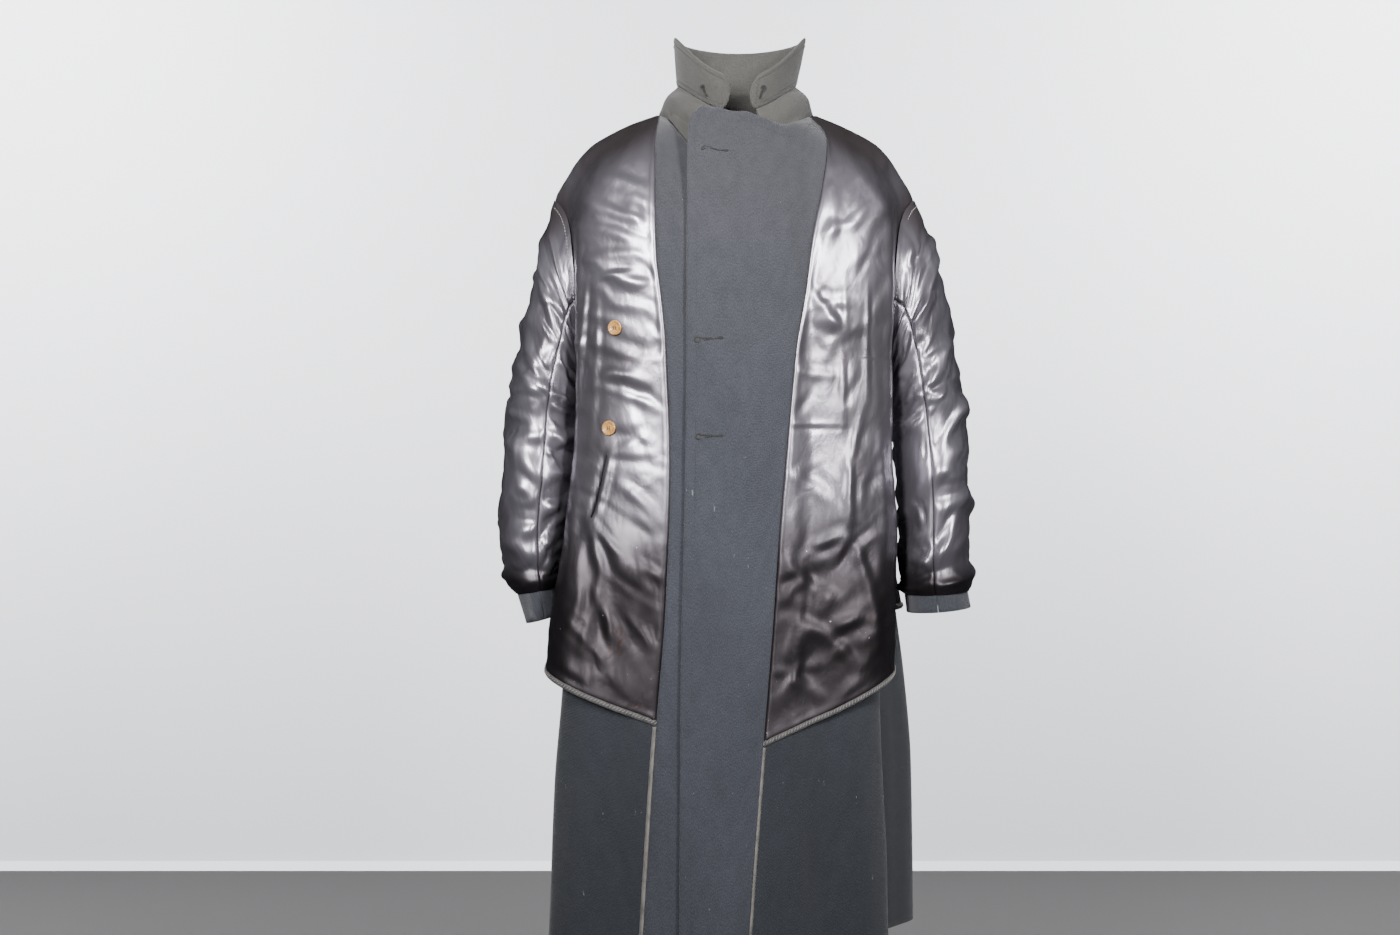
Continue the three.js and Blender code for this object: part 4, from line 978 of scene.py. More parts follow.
BACK_CREASES = (
    (-170, -150, -60, -196, 9, 2.2, 8), (-190, -200, -70, -240, 9, 2.0, -6),
    (170, -150, 70, -190, 9, 2.2, -8), (186, -210, 60, -236, 9, 2.0, 6),
    (-186, -290, -30, -320, 10, 2.4, 8), (180, -280, 20, -330, 10, 2.4, -8),
    (-190, -380, -60, -360, 9, 1.8, 6), (190, -400, 50, -380, 9, 1.8, -6),
    (-150, -450, -40, -500, 10, 2.0, 8), (160, -460, 40, -520, 10, 2.0, -8),
    (-190, -540, -110, -620, 10, 2.4, 6), (200, -540, 120, -620, 10, 2.4, -6),
    (-90, -540, -70, -630, 9, 2.2, 5), (90, -530, 80, -630, 9, 2.2, -5), (-40, -70, -30, -190, 8, 1.8, 4),
    (50, -60, 40, -180, 8, 1.8, -4),
)


def back_satin():
    levels = levels_for(3.7, BACK_LINING_HEM)
    share = np.linspace(0, 1, 86)
    half = np.concatenate([share, (2 - np.linspace(1, 2, 86))[1:]])
    hand = np.concatenate([np.ones(86), -np.ones(85)])
    seam = 0.5 + armhole(levels) + SEAM
    around = hand[None] * (seam[:, None] + (1 - seam)[:, None] * half[None])
    around = np.where(around < 0, around + 2, around)
    level = np.repeat(levels[:, None], around.shape[1], 1)
    hang = BACK_FLARE * smooth((FLARE_START - level) / (FLARE_START - BACK_LINING_HEM))
    place = np.where(around > 1, around - 2, around)
    bottom = WOOL + GAP + hang
    flat = on_body(place, level, bottom + SATIN)
    left, right, top, low = border(flat)
    s, t = flat[..., 0], flat[..., 2]
    small = scattered(51, 120, (-220, 220), (-640, -40), 0, 40, (35, 100), (4, 9), (0.3, 1.1))
    rows = list(BACK_CREASES) + small
    relief = crease_relief(s, t, rows) + swell(s, t, 53, 100, 1.1)
    free = smooth(left / 10) * smooth(right / 10) * smooth(top / 10) * mix(0.4, 1, smooth(low / 14))
    edge = smooth(half * 8)[None] * smooth(-level / 30) * smooth((level - BACK_LINING_HEM) / 20)
    lift = edge * satin_fold(place, level) + np.maximum(relief, -1.0 - hang) * free
    outer = on_body(place, level, bottom + SATIN + lift)
    inner = on_body(place, level, bottom + lift)
    piece = shell("lining_back_satin", outer, inner, lengths(flat))
    return finish_cloth(piece, flat, LINING_SATIN, ["lining_back"], ["wool_back_right"])


# Bindings

def lining_point(side, share, level, off):
    flare, line = LINING_HEM[side]
    near = facing_line(side, level) + HAND[side] * SEAM
    around = near + (side_seam(side, level) - near) * share
    hem = curve(line, share)
    return LAY[side](around, level, WOOL + GAP + off + lining_hang(flare, share, level, hem))


def hem_binding(side):
    """A folded tape round the lining's lower edge: a flattened roll."""
    if side == "back":
        place = np.concatenate([np.linspace(0.5 + SEAM, 1, 80), np.linspace(-1, -0.5 - SEAM, 80)[1:]])
        where = lambda drop, off: on_body(place, BACK_LINING_HEM - drop + 0 * place,
                                          WOOL + GAP + off + BACK_FLARE)
    else:
        share = np.linspace(0, 1, 110)
        hem = curve(LINING_HEM[side][1], share)
        where = lambda drop, off: lining_point(side, share, hem - drop, off)
    profile = ((-1.5, 2.2), (0, 2.9), (2, 3.1), (4.5, 2.6), (6, 1.4))
    outer = np.stack([where(d, o) for d, o in profile])
    inner = np.stack([where(d, 0.2) for d, o in profile])
    piece = shell(f"lining_hem_tape_{side}", outer, inner, lengths(outer))
    carrier = "lining_back_satin" if side == "back" else f"satin_front_{side}"
    return finish_tape(piece, HEM_TAPE, [f"hem_binding_{side}"], carrier)


def facing_binding(side):
    top = LINING_HEM[side][1][0][1] - BINDING - 2 * GAP
    levels = levels_for(6, HEM, top)
    near = facing_line(side, levels)
    profile = ((-0.0008, FACING + 0.6), (0.0008, FACING + 0.9), (0.0024, FACING + 0.8),
               (0.0042, FACING * 0.6), (0.0052, 0.3))
    outer = np.stack([LAY[side](near + HAND[side] * a, levels, WOOL + GAP + off) for a, off in profile], 1)
    inner = np.stack([LAY[side](near + HAND[side] * max(0.0004, a - 0.001), levels, WOOL + GAP * 0.5)
                      for a, off in profile], 1)
    piece = shell(f"facing_edge_tape_{side}", outer, inner, lengths(outer))
    return finish_tape(piece, EDGE_TAPE, [f"facing_tape_{side}"], f"wool_facing_{side}")


# Sleeves

PIECES = {"upper": (-SLEEVE_SEAM_TURN, SLEEVE_SEAM_TURN),
          "under": (SLEEVE_SEAM_TURN, 2 * math.pi - SLEEVE_SEAM_TURN)}


# millimetres round the sleeve for each degree of turn
SLEEVE_DEGREE = 1.25


def sleeve_wool(side, part):
    first, last = PIECES[part]
    down = np.linspace(0, 1, 66)
    turn = np.linspace(first + 0.007, last - 0.007, 44)
    down, turn = np.meshgrid(down, turn, indexing="ij")
    outer, _ = on_sleeve(side, down, turn, WOOL - 0.4 + 0 * down)
    inner, _ = on_sleeve(side, down, turn, 0.0 * down)
    piece = shell(f"wool_sleeve_{side}_{part}", outer, inner, lengths(outer))
    return finish_cloth(piece, outer, FACING_WOOL, [f"sleeve_{side}_{part}"],
                        [f"wool_front_{side}"])


def sleeve_satin(side, part):
    first, last = PIECES[part]
    end = SATIN_END[side]
    down = np.linspace(0, end, int(SLEEVE_LENGTH * end / STEP["sleeve"]))
    turn = np.linspace(first + 0.006, last - 0.006, int(75 * (last - first) / STEP["sleeve"]))
    down, turn = np.meshgrid(down, turn, indexing="ij")
    start = WOOL + GAP + SLEEVE_START
    ease = SLEEVE_EASE * smooth((end - down) / 0.02)
    free = smooth(down / 0.12) * smooth((end - down) / 0.05)
    under = WOOL + 2 * GAP + ease
    flat, _ = on_sleeve(side, down, turn, under + SATIN, start)
    s, t = np.degrees(turn) * SLEEVE_DEGREE, -down * SLEEVE_LENGTH
    seed = {"right": 71, "left": 83}[side] + (0 if part == "upper" else 5)
    span = (math.degrees(first) * SLEEVE_DEGREE, math.degrees(last) * SLEEVE_DEGREE)
    lean = 16 if side == "right" else -16
    rows = scattered(seed, 46, span, (-520, -20), lean, 20, (70, 150), (7, 12), (1.8, 4.2), 18)
    rows += scattered(seed + 1, 90, span, (-520, -10), lean, 34, (30, 80), (4, 8), (0.6, 1.8), 10)
    relief = crease_relief(s, t, rows) + swell(s, t, seed + 2, 85, 1.2)
    left, right, top, low = border(flat)
    hold = smooth(left / 9) * smooth(right / 9) * smooth(top / 18) * smooth(low / 12)
    lift = free * sleeve_fold(down, turn) * 1.25 + np.maximum(relief, -1.5) * hold
    lift = lift + 3.0 * np.exp(-((low - 12) / 8) ** 2)
    fall = 0.9 * (1 - smooth(left / 3)) + 0.9 * (1 - smooth(right / 3)) + 1.0 * (1 - smooth(low / 4))
    outer, _ = on_sleeve(side, down, turn, under + SATIN + lift - fall, start)
    inner, _ = on_sleeve(side, down, turn, under + lift - fall, start)
    piece = shell(f"satin_sleeve_{side}_{part}", outer, inner, lengths(flat))
    return finish_cloth(piece, flat, SLEEVE_SATIN, [f"lining_sleeve_{side}_{part}"],
                        [f"wool_sleeve_{side}_{part}"])


# Collar

def collar_point(rings, share, turn, off):
    half, mid, front, back, side, centre_front, centre_back = (
        curve([(i / (len(rings) - 1), r[k]) for i, r in enumerate(rings)], share) for k in range(7))
    ahead = np.cos(turn) > 0
    depth = np.where(ahead, front, back) + off
    level = mix(side, np.where(ahead, centre_front, centre_back), np.cos(turn) ** 2)
    return np.stack([mid + (half + off) * np.sin(turn), -depth * np.cos(turn), level], -1)


def collar_stand():
    turn = np.linspace(math.radians(-360 + STAND_END), math.radians(-STAND_END), 190)
    up = np.linspace(1, 0, 30)
    up, turn = np.meshgrid(up, turn, indexing="ij")
    faces = []
    for thick in (0.0, -COLLAR):
        around = turn / math.pi
        seam = body(around - 2 * np.round(around / 2), 0 * turn)
        inward = mix(1.0, 3.1, np.maximum(0, np.cos(turn)))
        out = np.stack([seam[..., 0], seam[..., 1], 0 * turn], -1)
        seam = seam + unit(out) * (thick - inward)[..., None] + np.array([0, 0, 0.7])
        ring = collar_point(STAND, np.clip((up * 4 - 1) / 3, 0, 1), turn, thick)
        rise = smooth(up * 4)[..., None] * 0.5 + np.clip(up * 4, 0, 1)[..., None] * 0.5
        faces.append(mix(seam, ring, rise))
    bulge = 1.5 * np.sin(np.pi * up) + swell(np.degrees(turn) * 1.5, up * 50, 91, 70, 0.8)
    away = unit(np.stack([faces[0][..., 0], faces[0][..., 1], 0 * turn], -1))
    lean = away * (bulge * np.sin(np.pi * up))[..., None]
    outer, inner = faces[0] + lean, faces[1] + lean
    piece = shell("collar_band", outer, inner, lengths(outer))
    return finish_cloth(piece, outer, COLLAR_WOOL, ["collar_stand"], ["wool_back_right"])


def leaf_point(u, height, off):
    """u runs from the left tip round the back to the right tip, height from 0 below to 1 above."""
    ends = (math.radians(-360 + LEAF_TIPS["left"]), math.radians(LEAF_TIPS["right"]))
    turn = mix(ends[0], ends[1], u)
    near = np.minimum(turn - ends[0], ends[1] - turn) / math.radians(LEAF_TIP_ROUND)
    open_ = np.sqrt(np.maximum(0.006, 1 - (1 - np.clip(near, 0, 1)) ** 2))
    at = 0.5 + (height - 0.5) * open_
    return collar_point(LEAF, at, turn, off), turn, at


def collar_leaf():
    u = np.linspace(0, 1, 220)
    u = mix(u, 0.5 - 0.5 * np.cos(np.pi * u), 0.72)
    height = np.linspace(0, 1, 34)
    height, u = np.meshgrid(height, u, indexing="ij")
    flat, turn, at = leaf_point(u, height, 0 * u)
    left, right, low, top = border(flat)
    near = np.minimum(np.minimum(left, right), np.minimum(low, top))
    wave = swell(np.degrees(turn) * 1.5, at * 70, 95, 90, 1.3) * np.sin(np.pi * np.clip(at, 0, 1)) ** 0.5
    pad = 0.7 * smooth(near / 5) - 0.9 * (1 - smooth(near / 1.6)) - 0.5 * np.exp(-((near - 8) / 1.3) ** 2)
    outer, _, _ = leaf_point(u, height, wave + pad)
    inner, _, _ = leaf_point(u, height, wave - pad - COLLAR + 0.9)
    piece = shell("collar_leaf_wool", outer, inner, lengths(outer))
    return finish_cloth(piece, outer, COLLAR_WOOL, ["collar_leaf"], ["collar_band"])


# Stitches

def stitch_group():
    """Thread stitches laid along a line: each a small round-ended grain, turned by the tilt."""
    group = bpy.data.node_groups.new("Stitch run", "GeometryNodeTree")
    face = group.interface
    face.new_socket(name="Geometry", in_out="INPUT", socket_type="NodeSocketGeometry")
    for label, value in (("Spacing", 0.004), ("Length", 0.003), ("Thickness", 0.0008), ("Tilt", 0.0),
                         ("Unevenness", 0.15)):
        face.new_socket(name=label, in_out="INPUT", socket_type="NodeSocketFloat").default_value = value
    face.new_socket(name="Thread", in_out="INPUT", socket_type="NodeSocketMaterial")
    face.new_socket(name="Geometry", in_out="OUTPUT", socket_type="NodeSocketGeometry")
    new, link = group.nodes.new, group.links.new
    gin, gout = new("NodeGroupInput"), new("NodeGroupOutput")
    line, points = new("GeometryNodeMeshToCurve"), new("GeometryNodeCurveToPoints")
    points.mode = "LENGTH"
    link(gin.outputs["Geometry"], line.inputs[0])
    link(line.outputs[0], points.inputs["Curve"])
    link(gin.outputs["Spacing"], points.inputs["Length"])
    out = new("GeometryNodeInputNamedAttribute")
    out.data_type = "FLOAT_VECTOR"
    out.inputs["Name"].default_value = "out"
    lie, stand = new("FunctionNodeAlignRotationToVector"), new("FunctionNodeAlignRotationToVector")
    lie.axis = "X"
    stand.axis, stand.pivot_axis = "Z", "X"
    link(points.outputs["Tangent"], lie.inputs["Vector"])
    link(lie.outputs[0], stand.inputs["Rotation"])
    link(out.outputs["Attribute"], stand.inputs["Vector"])
    spread = new("FunctionNodeRandomValue")
    spread.data_type = "FLOAT"
    spread.inputs[2].default_value, spread.inputs[3].default_value = -1.0, 1.0
    spread.inputs["Seed"].default_value = 7
    wander = new("ShaderNodeMath")
    wander.operation = "MULTIPLY_ADD"
    link(spread.outputs[1], wander.inputs[0])
    link(gin.outputs["Unevenness"], wander.inputs[1])
    link(gin.outputs["Tilt"], wander.inputs[2])
    angle, turn = new("FunctionNodeAxisAngleToRotation"), new("FunctionNodeRotateRotation")
    angle.inputs["Axis"].default_value = (0, 0, 1)
    turn.rotation_space = "LOCAL"
    link(wander.outputs[0], angle.inputs["Angle"])
    link(stand.outputs[0], turn.inputs["Rotation"])
    link(angle.outputs[0], turn.inputs["Rotate By"])
    grain, size = new("GeometryNodeMeshUVSphere"), new("ShaderNodeCombineXYZ")
    grain.inputs["Segments"].default_value, grain.inputs["Rings"].default_value = 6, 5
    grain.inputs["Radius"].default_value = 0.5
    for k, label in enumerate(("Length", "Thickness", "Thickness")):
        link(gin.outputs[label], size.inputs[k])
    shape, lay = new("GeometryNodeTransform"), new("GeometryNodeInstanceOnPoints")
    link(grain.outputs["Mesh"], shape.inputs["Geometry"])
    link(size.outputs[0], shape.inputs["Scale"])
    link(points.outputs["Points"], lay.inputs["Points"])
    link(shape.outputs[0], lay.inputs["Instance"])
    link(turn.outputs[0], lay.inputs["Rotation"])
    real, cloth = new("GeometryNodeRealizeInstances"), new("GeometryNodeSetMaterial")
    link(lay.outputs[0], real.inputs[0])
    link(real.outputs[0], cloth.inputs["Geometry"])
    link(gin.outputs["Thread"], cloth.inputs["Material"])
    link(cloth.outputs[0], gout.inputs[0])
    return group


STITCHES = stitch_group()


def carry(piece, carrier):
    """A seam, slit or thread goes with the cloth that it is worked in."""
    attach(piece, "root")
    CARRIED.setdefault(carrier, []).append(piece)
    return piece


def stitch_run(name, runs, carrier, thread, spacing, length, thickness, tilt=0.0, uneven=0.15):
    """One object of stitches along several lines of (points, outward directions), in millimetres."""
    verts, edges, ways = [], [], []
    for points, out in runs:
        first = len(verts)
        verts += (np.asarray(points) * MM).tolist()
        ways += np.asarray(out).tolist()
        edges += [(first + k, first + k + 1) for k in range(len(points) - 1)]
    mesh = bpy.data.meshes.new(name)
    mesh.from_pydata(verts, edges, [])
    mesh.attributes.new("out", "FLOAT_VECTOR", "POINT").data.foreach_set("vector", np.ravel(ways))
    guide = add_object(name + "_line", mesh)
    modifier = guide.modifiers.new("stitches", "NODES")
    modifier.node_group = STITCHES
    values = {"Spacing": spacing * MM, "Length": length * MM, "Thickness": thickness * MM, "Tilt": tilt,
              "Unevenness": uneven, "Thread": thread}
    for item in STITCHES.interface.items_tree:
        if item.in_out == "INPUT" and item.name in values:
            modifier[item.identifier] = values[item.name]
    graph = bpy.context.evaluated_depsgraph_get()
    made = bpy.data.meshes.new_from_object(guide.evaluated_get(graph), depsgraph=graph)
    made.name = name
    bpy.data.objects.remove(guide)
    made.polygons.foreach_set("use_smooth", np.ones(len(made.polygons), bool))
    return carry(add_object(name, made), carrier)


def line_on(place, count=120):
    """Points and outward directions along a line given by place(share) -> (point, lifted point)."""
    share = np.linspace(0, 1, count)
    low, high = place(share)
    return high, unit(high - low)


HEM_STITCH_DROP, ARMHOLE_STITCH_DOWN = 1.8, 0.028


def hem_stitches(side):
    if side == "back":
        place = lambda share: np.where(share < 0.5, mix(0.5 + SEAM, 1, 2 * share),
                                       mix(-1, -0.5 - SEAM, 2 * share - 1))
        where = lambda share: tuple(on_body(place(share), BACK_LINING_HEM - HEM_STITCH_DROP + 0 * share,
                                            WOOL + GAP + BACK_FLARE + off) for off in (1.0, 3.2))
        lines = [line_on(where, 160)]
        carrier = "lining_back_satin"
    else:
        hem = lambda share: curve(LINING_HEM[side][1], share) - HEM_STITCH_DROP
        where = lambda share: tuple(lining_point(side, share, hem(share), off) for off in (1.0, 3.2))
        lines = [line_on(where)]
        carrier = f"satin_front_{side}"
    return stitch_run(f"hem_stitches_{side}", lines, carrier, THREAD, 4.2, 6.2, 1.1, math.radians(52), 0.2)


def armhole_stitches(side):
    turn = np.linspace(0, 2 * math.pi, 200)
    down = ARMHOLE_STITCH_DOWN + 0 * turn
    off = WOOL + 2 * GAP + SLEEVE_EASE + SATIN + 0.3 + 0 * turn
    base, out = on_sleeve(side, down, turn, off, WOOL + GAP + SLEEVE_START)
    return stitch_run(f"armhole_stitches_{side}", [(base, out)], f"satin_sleeve_{side}_upper",
                      ARMHOLE_THREAD, 5.0, 3.6, 1.1, math.radians(14), 0.25)


def on_facing(x, z, off):
    """A point over the left front's facing at a place across and up, with its outward direction."""
    x, z = np.atleast_1d(np.asarray(x, float)), np.atleast_1d(np.asarray(z, float))
    top = WOOL + GAP + FACING
    level = z + 40.0
    for _ in range(12):
        around = around_at(x, level)
        point = lay_left(around, level, top + off + 0 * level)
        level = level + (z - point[..., 2])
    return point, unit(point - lay_left(around, level, top + off - 2 + 0 * level))


# the round eye and the other end of each buttonhole, across and up
BUTTONHOLES = ((-40.6, -51.2, -11.0, -58.6), (-48.0, -296.0, -17.2, -293.6), (-46.6, -414.9, -17.2, -413.6))


def slot_outline(length, eye, half):
    """Outline of a keyhole slit along +s, its eye round the start."""
    open_ = math.asin(half / eye)
    ring = [(eye * math.cos(a), eye * math.sin(a)) for a in np.linspace(open_, math.tau - open_, 15)]
    return np.array(ring[::-1] + [(length * 0.97, -half * 0.6), (length, 0), (length * 0.97, half * 0.6)])


def buttonhole(name, carrier, place, start, end, eye, half):
    """A worked slit: a dark sheet in the opening as painted shade, with buttonhole stitches set across its
    edge.
    """
    run = np.array(end) - np.array(start)
    length = float(np.hypot(*run))
    ex = run / length
    ey = np.array([-ex[1], ex[0]])
    outline = slot_outline(length, eye, half)
    flat = np.array(start) + outline[:, :1] * ex + outline[:, 1:] * ey
    rim, out = place(flat[:, 0], flat[:, 1], 0.25)
    spine_s = np.linspace(0, length, 8)[:, None]
    spine, _ = place(*(np.array(start) + spine_s * ex).T, 0.12)
    verts = (np.concatenate([rim, spine]) * MM).tolist()
    count, faces = len(rim), []
    nearest = [int(np.argmin(np.linalg.norm(spine - p, axis=1))) for p in rim]
    for k in range(count):
        n = (k + 1) % count
        a, b = count + nearest[k], count + nearest[n]
        faces.append((k, n, b) if a == b else (k, n, b, a))
    mesh = bpy.data.meshes.new(name)
    mesh.from_pydata(verts, [], faces)
    # painted shade: the slit's opening is a sheet in dark thread colour
    mesh.materials.append(DARK_THREAD_AND_SLIT_SHADE)
    carry(add_object(name, mesh), carrier)
    wide = slot_outline(length, eye + 1.0, half + 1.0)
    flat = np.array(start) + wide[:, :1] * ex + wide[:, 1:] * ey
    flat = np.concatenate([flat, flat[:1]])
    closer = np.concatenate([np.linspace(a, b, 6)[:-1] for a, b in zip(flat[:-1], flat[1:])])
    edge, out = place(closer[:, 0], closer[:, 1], 0.35)
    stitch_run(name + "_thread", [(edge, out)], carrier, BUTTONHOLE_THREAD, 0.95, 2.3, 0.8,
               math.radians(90), 0.2)


# the same for the small holes at the collar's tips
COLLAR_HOLES = ((-42.5, 26.5, -37.0, 14.5), (34.5, 24.0, 29.5, 10.5))


def on_leaf(x, z, off):
    """A point over the collar leaf's outer face in front, at a place across and up."""
    x, z = np.atleast_1d(np.asarray(x, float)), np.atleast_1d(np.asarray(z, float))
    hand = np.sign(x.mean())
    turn, share = 0.2 * hand + 0 * x, 0.5 + 0 * x
    for _ in range(30):
        point = collar_point(LEAF, share, turn, 1.0 + off)
        turn = turn + (x - point[:, 0]) / 85
        share = np.clip(share + (z - point[:, 2]) / 42, 0, 1)
    return point, unit(point - collar_point(LEAF, share, turn, off - 1.0))


def leaf_stitches():
    """Topstitching in from the leaf's edge, all the way round its outer face."""
    runs = []
    for top in (True, False):
        u = np.linspace(0.018, 0.982, 260)
        edge = 0.86 if top else 0.14
        outer, _, _ = leaf_point(u, edge + 0 * u, 1.05 + 0 * u)
        lower, _, _ = leaf_point(u, edge + 0 * u, -1.0 + 0 * u)
        runs.append((outer, unit(outer - lower)))
    for u0 in (0.018, 0.982):
        height = np.linspace(0.14, 0.86, 24)
        outer, _, _ = leaf_point(u0 + 0 * height, height, 1.05 + 0 * height)
        lower, _, _ = leaf_point(u0 + 0 * height, height, -1.0 + 0 * height)
        runs.append((outer, unit(outer - lower)))
    return stitch_run("collar_stitches", runs, "collar_leaf_wool", COLLAR_THREAD, 3.6, 2.6, 0.7)


EDGE_STITCH_IN = 9


def edge_stitches():
    """Two lines of topstitching in from the over front's free edge and along its top."""
    levels = np.linspace(-3, HEM + 3, 500)
    near = free_edge("left", levels) + EDGE_STITCH_IN / HALF_GIRTH
    top = WOOL + GAP + FACING
    high, low = lay_left(near, levels, top + 0.2 + 0 * levels), lay_left(near, levels, top - 2 + 0 * levels)
    runs = [(high, unit(high - low))]
    share = np.linspace(0.04, 0.96, 80)
    level = np.full(80, -float(EDGE_STITCH_IN))
    around = mix(free_edge("left", level), facing_line("left", level), share)
    high, low = lay_left(around, level, top + 0.2 + 0 * level), lay_left(around, level, top - 2 + 0 * level)
    runs.append((high, unit(high - low)))
    return stitch_run("edge_stitches", runs, "wool_facing_left", EDGE_THREAD, 3.6, 2.5, 0.6)


# across and up of the inner pocket's slit on the right front's satin
POCKET_SLIT = ((-159.5, -436), (-165, -458), (-170, -482), (-175, -506), (-178, -515))
POCKET_HANG, POCKET_HANG_SHARE, POCKET_HANG_DROP = 20, 0.8, 270


def on_front_satin(x, z, off):
    level = np.asarray(z, float).copy()
    for _ in range(6):
        around = around_at(x, level)
        hang = POCKET_HANG * smooth((FLARE_START - level) / POCKET_HANG_DROP) * POCKET_HANG_SHARE
        point = on_body(around, level, WOOL + GAP + SATIN + off + hang)
        level = level + (z - point[..., 2])
    return point


def pocket_slit():
    """A thin rib along the pocket's mouth, coloured near black as painted shade of the slit."""
    share = np.linspace(0, 1, 40)
    x = np.interp(share, np.linspace(0, 1, 5), [p[0] for p in POCKET_SLIT])
    z = np.interp(share, np.linspace(0, 1, 5), [p[1] for p in POCKET_SLIT])
    wide = 1.1 * np.sin(np.pi * mix(0.08, 0.92, share)) ** 0.5
    rows = []
    for across, lift in ((-1, 0.2), (-0.6, 1.6), (0, 2.1), (0.6, 1.6), (1, 0.2)):
        rows.append(on_front_satin(x + across * wide, z, lift))
    outer = np.stack(rows)
    inner = outer + np.array([0, 1.5, 0])
    piece = shell("pocket_slit", outer, inner, lengths(outer))
    piece.data.materials.append(SLIT_SHADE)
    return carry(piece, "satin_front_right")


BUTTON_RADIUS, BUTTON_THICK = 9.3, 3.2


def button(name):
    """A turned button with a raised rim, a dished face and two bars of thread through its holes."""
    verts = np.array([v.co[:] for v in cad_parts[name].data.vertices]) / MM
    centre = (verts.min(0) + verts.max(0)) / 2
    away = verts - centre
    _, _, axes = np.linalg.svd(away - away.mean(0), full_matrices=False)
    out = axes[2] * (1 if axes[2][1] < 0 else -1)
    right = unit(np.cross(out, (0, 0, 1.0)))
    up = np.cross(right, out)
    r, t = BUTTON_RADIUS, BUTTON_THICK
    profile = ((0, -0.5), (0.78, -0.5), (0.95, -0.32), (1, -0.05), (0.985, 0.2), (0.94, 0.38), (0.88, 0.46),
               (0.8, 0.45), (0.73, 0.36), (0.66, 0.22), (0.6, 0.14), (0.4, 0.08), (0.16, 0.06), (0, 0.06))
    count = 48
    points, faces = [], []
    for x, y in profile[1:-1]:
        for k in range(count):
            a = math.tau * k / count
            points.append(centre + (right * math.cos(a) + up * math.sin(a)) * r * x + out * t * y)
    rings = len(profile) - 2
    for j in range(rings - 1):
        for k in range(count):
            n = (k + 1) % count
            faces.append((j * count + k, j * count + n, (j + 1) * count + n, (j + 1) * count + k))
    points += [centre + out * t * profile[0][1], centre + out * t * profile[-1][1]]
    for k in range(count):
        n = (k + 1) % count
        faces.append((rings * count, n, k))
        faces.append((rings * count + 1, (rings - 1) * count + k, (rings - 1) * count + n))
    mesh = bpy.data.meshes.new(name + "_horn")
    mesh.from_pydata((np.array(points) * MM).tolist(), [], faces)
    mesh.polygons.foreach_set("use_smooth", np.ones(len(faces), bool))
    mesh.materials.append(HORN)
    piece = add_object(name + "_horn", mesh)
    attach(piece, "root")
    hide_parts(name)
    lines = []
    for across in (-1.3, 1.3):
        line = np.array([centre + right * across + up * y + out * (t * 0.06 + 0.35) for y in (-1.6, 1.6)])
        lines.append((line, np.array([out, out])))
    stitch_run(name + "_thread", lines, "satin_front_right", DARK_THREAD_AND_SLIT_SHADE, 1.1, 2.2, 1.0)


# Build

for side in ("right", "left"):
    for make in (wool_front, wool_back, facing, front_satin, hem_binding, facing_binding):
        make(side)
    for part in ("upper", "under"):
        sleeve_wool(side, part)
        sleeve_satin(side, part)
back_satin()
hem_binding("back")
collar_stand()
collar_leaf()

for side in ("right", "left"):
    hem_stitches(side)
    armhole_stitches(side)
hem_stitches("back")
leaf_stitches()
edge_stitches()
pocket_slit()
for k, hole in enumerate(BUTTONHOLES):
    buttonhole(f"buttonhole_{k + 1}", "wool_facing_left", on_facing, hole[:2], hole[2:], 2.4, 0.8)
for side, hole in zip(("right", "left"), COLLAR_HOLES):
    buttonhole(f"collar_hole_{side}", "collar_leaf_wool", on_leaf, hole[:2], hole[2:], 1.4, 0.7)
for name in ("button_upper", "button_lower"):
    button(name)
declare_sheets()

# Studio

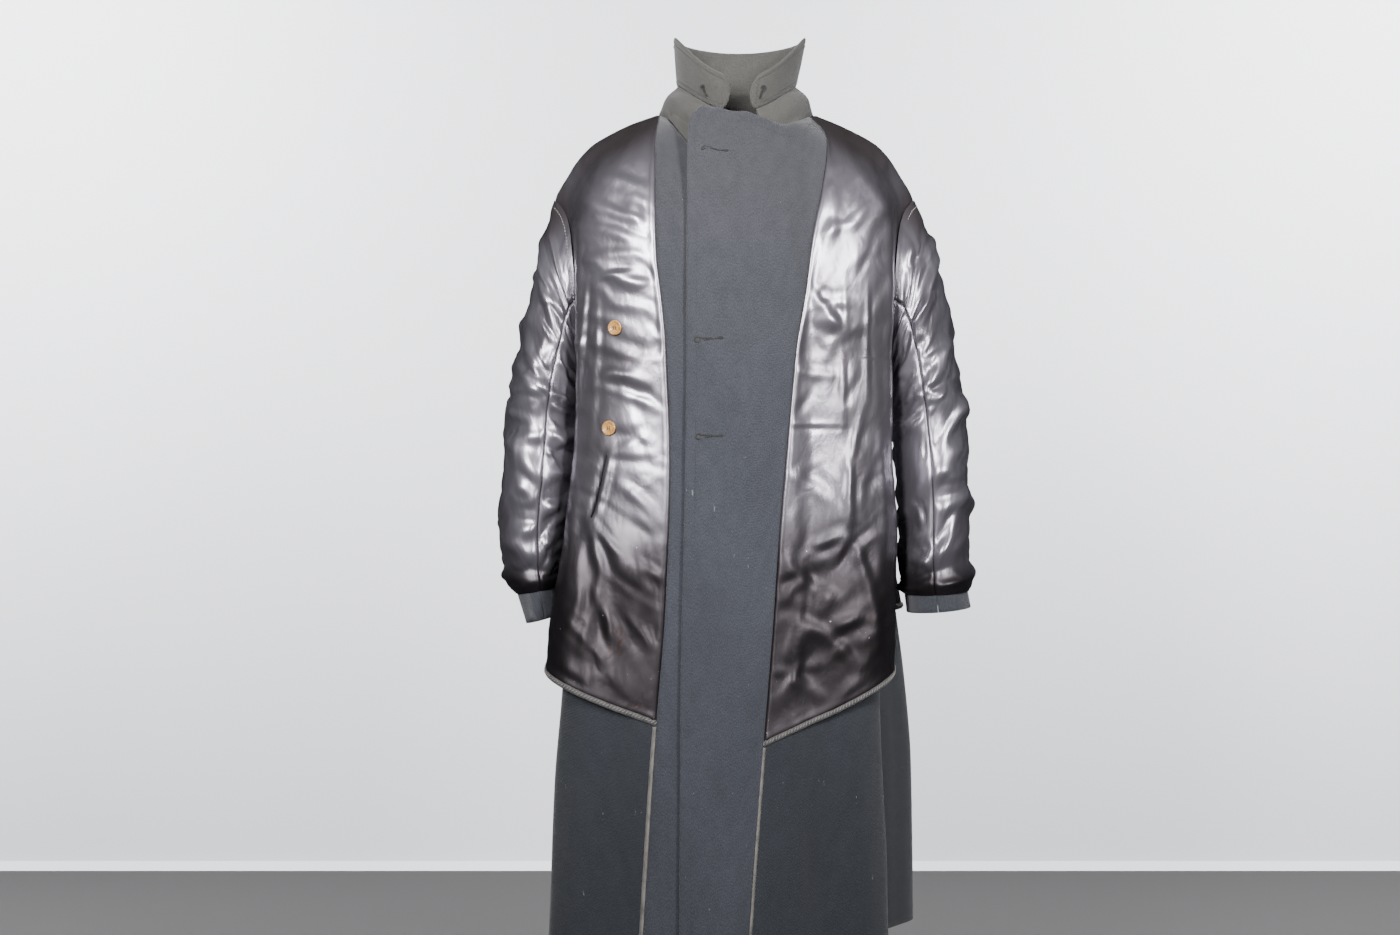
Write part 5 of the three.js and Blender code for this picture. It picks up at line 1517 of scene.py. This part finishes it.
def backdrop():
    """A pale wall and floor with a soft bend between them."""
    floor, wall, wide = -1.45, 2.3, 7.0
    path = [(-4.5, floor), (wall - 0.02, floor), (wall, floor + 0.02), (wall, 3.2)]
    verts = [(x, y, z) for y, z in path for x in (-wide, wide)]
    faces = [(2 * k, 2 * k + 1, 2 * k + 3, 2 * k + 2) for k in range(len(path) - 1)]
    mesh = bpy.data.meshes.new("studio")
    mesh.from_pydata(verts, [], faces)
    stage = add_object("studio", mesh)
    wall_mat, _, shader = new_material("Studio wall")
    shader.inputs["Base Color"].default_value = (0.74, 0.755, 0.79, 1)
    shader.inputs["Roughness"].default_value = 0.9
    floor_mat, _, shader = new_material("Studio floor")
    shader.inputs["Base Color"].default_value = (0.088, 0.086, 0.087, 1)
    shader.inputs["Roughness"].default_value = 0.6
    mesh.materials.append(floor_mat)
    mesh.materials.append(wall_mat)
    mesh.polygons[2].material_index = 1
    mesh.polygons[1].material_index = 1
    stage.visible_glossy = False


def area_light(name, place, aim, size, power, tone, spread, seen):
    data = bpy.data.lights.new(name, "AREA")
    data.spread = math.radians(spread)
    data.shape = "RECTANGLE"
    data.size, data.size_y = size
    data.energy = power
    data.color = tone
    lamp = add_object(name, data)
    lamp.location = place
    lamp.visible_glossy = seen
    away = np.array(place) - np.array(aim)
    yaw = math.atan2(away[0], -away[1])
    pitch = math.atan2(math.hypot(away[0], away[1]), away[2])
    lamp.rotation_euler = (pitch, 0, yaw)
    return lamp


# name, place, aim, size, power, tone, spread in degrees, seen in reflections
LIGHTS = (
    ("key", (-0.95, -2.7, 0.45), (-0.02, 0, -0.1), (0.5, 0.9), 17, (1, 0.99, 0.985), 62, True),
    ("low", (-0.5, -3.0, -0.6), (0, 0, -0.7), (1.6, 1.0), 1.6, (0.97, 0.98, 1), 180, False),
    ("fill", (1.35, -2.5, 0.4), (0.05, 0, -0.15), (0.45, 0.9), 11, (1, 0.99, 0.985), 62, True),
    ("wall_left", (-1.9, 0.5, 1.0), (-2.2, 2.3, 0.2), (1.4, 1.4), 230, (1, 1, 1), 180, False),
    ("wall_right", (1.9, 0.5, 1.0), (2.0, 2.3, 0.2), (1.4, 1.4), 235, (1, 1, 1), 180, False),
)


def studio():
    world = bpy.data.worlds.new("studio")
    bpy.context.scene.world = world
    world.use_nodes = True
    world.node_tree.nodes["Background"].inputs["Color"].default_value = (0.85, 0.88, 1.0, 1)
    world.node_tree.nodes["Background"].inputs["Strength"].default_value = 0.06
    for light in LIGHTS:
        area_light(*light)
    data = bpy.data.cameras.new("camera")
    data.lens = 50
    data.sensor_width = 36
    data.clip_end = 50
    camera = add_object("camera", data)
    camera.location = (-0.0455, -2.527, -0.453)
    camera.rotation_euler = (math.pi / 2, 0, 0)
    bpy.context.scene.camera = camera


backdrop()
studio()
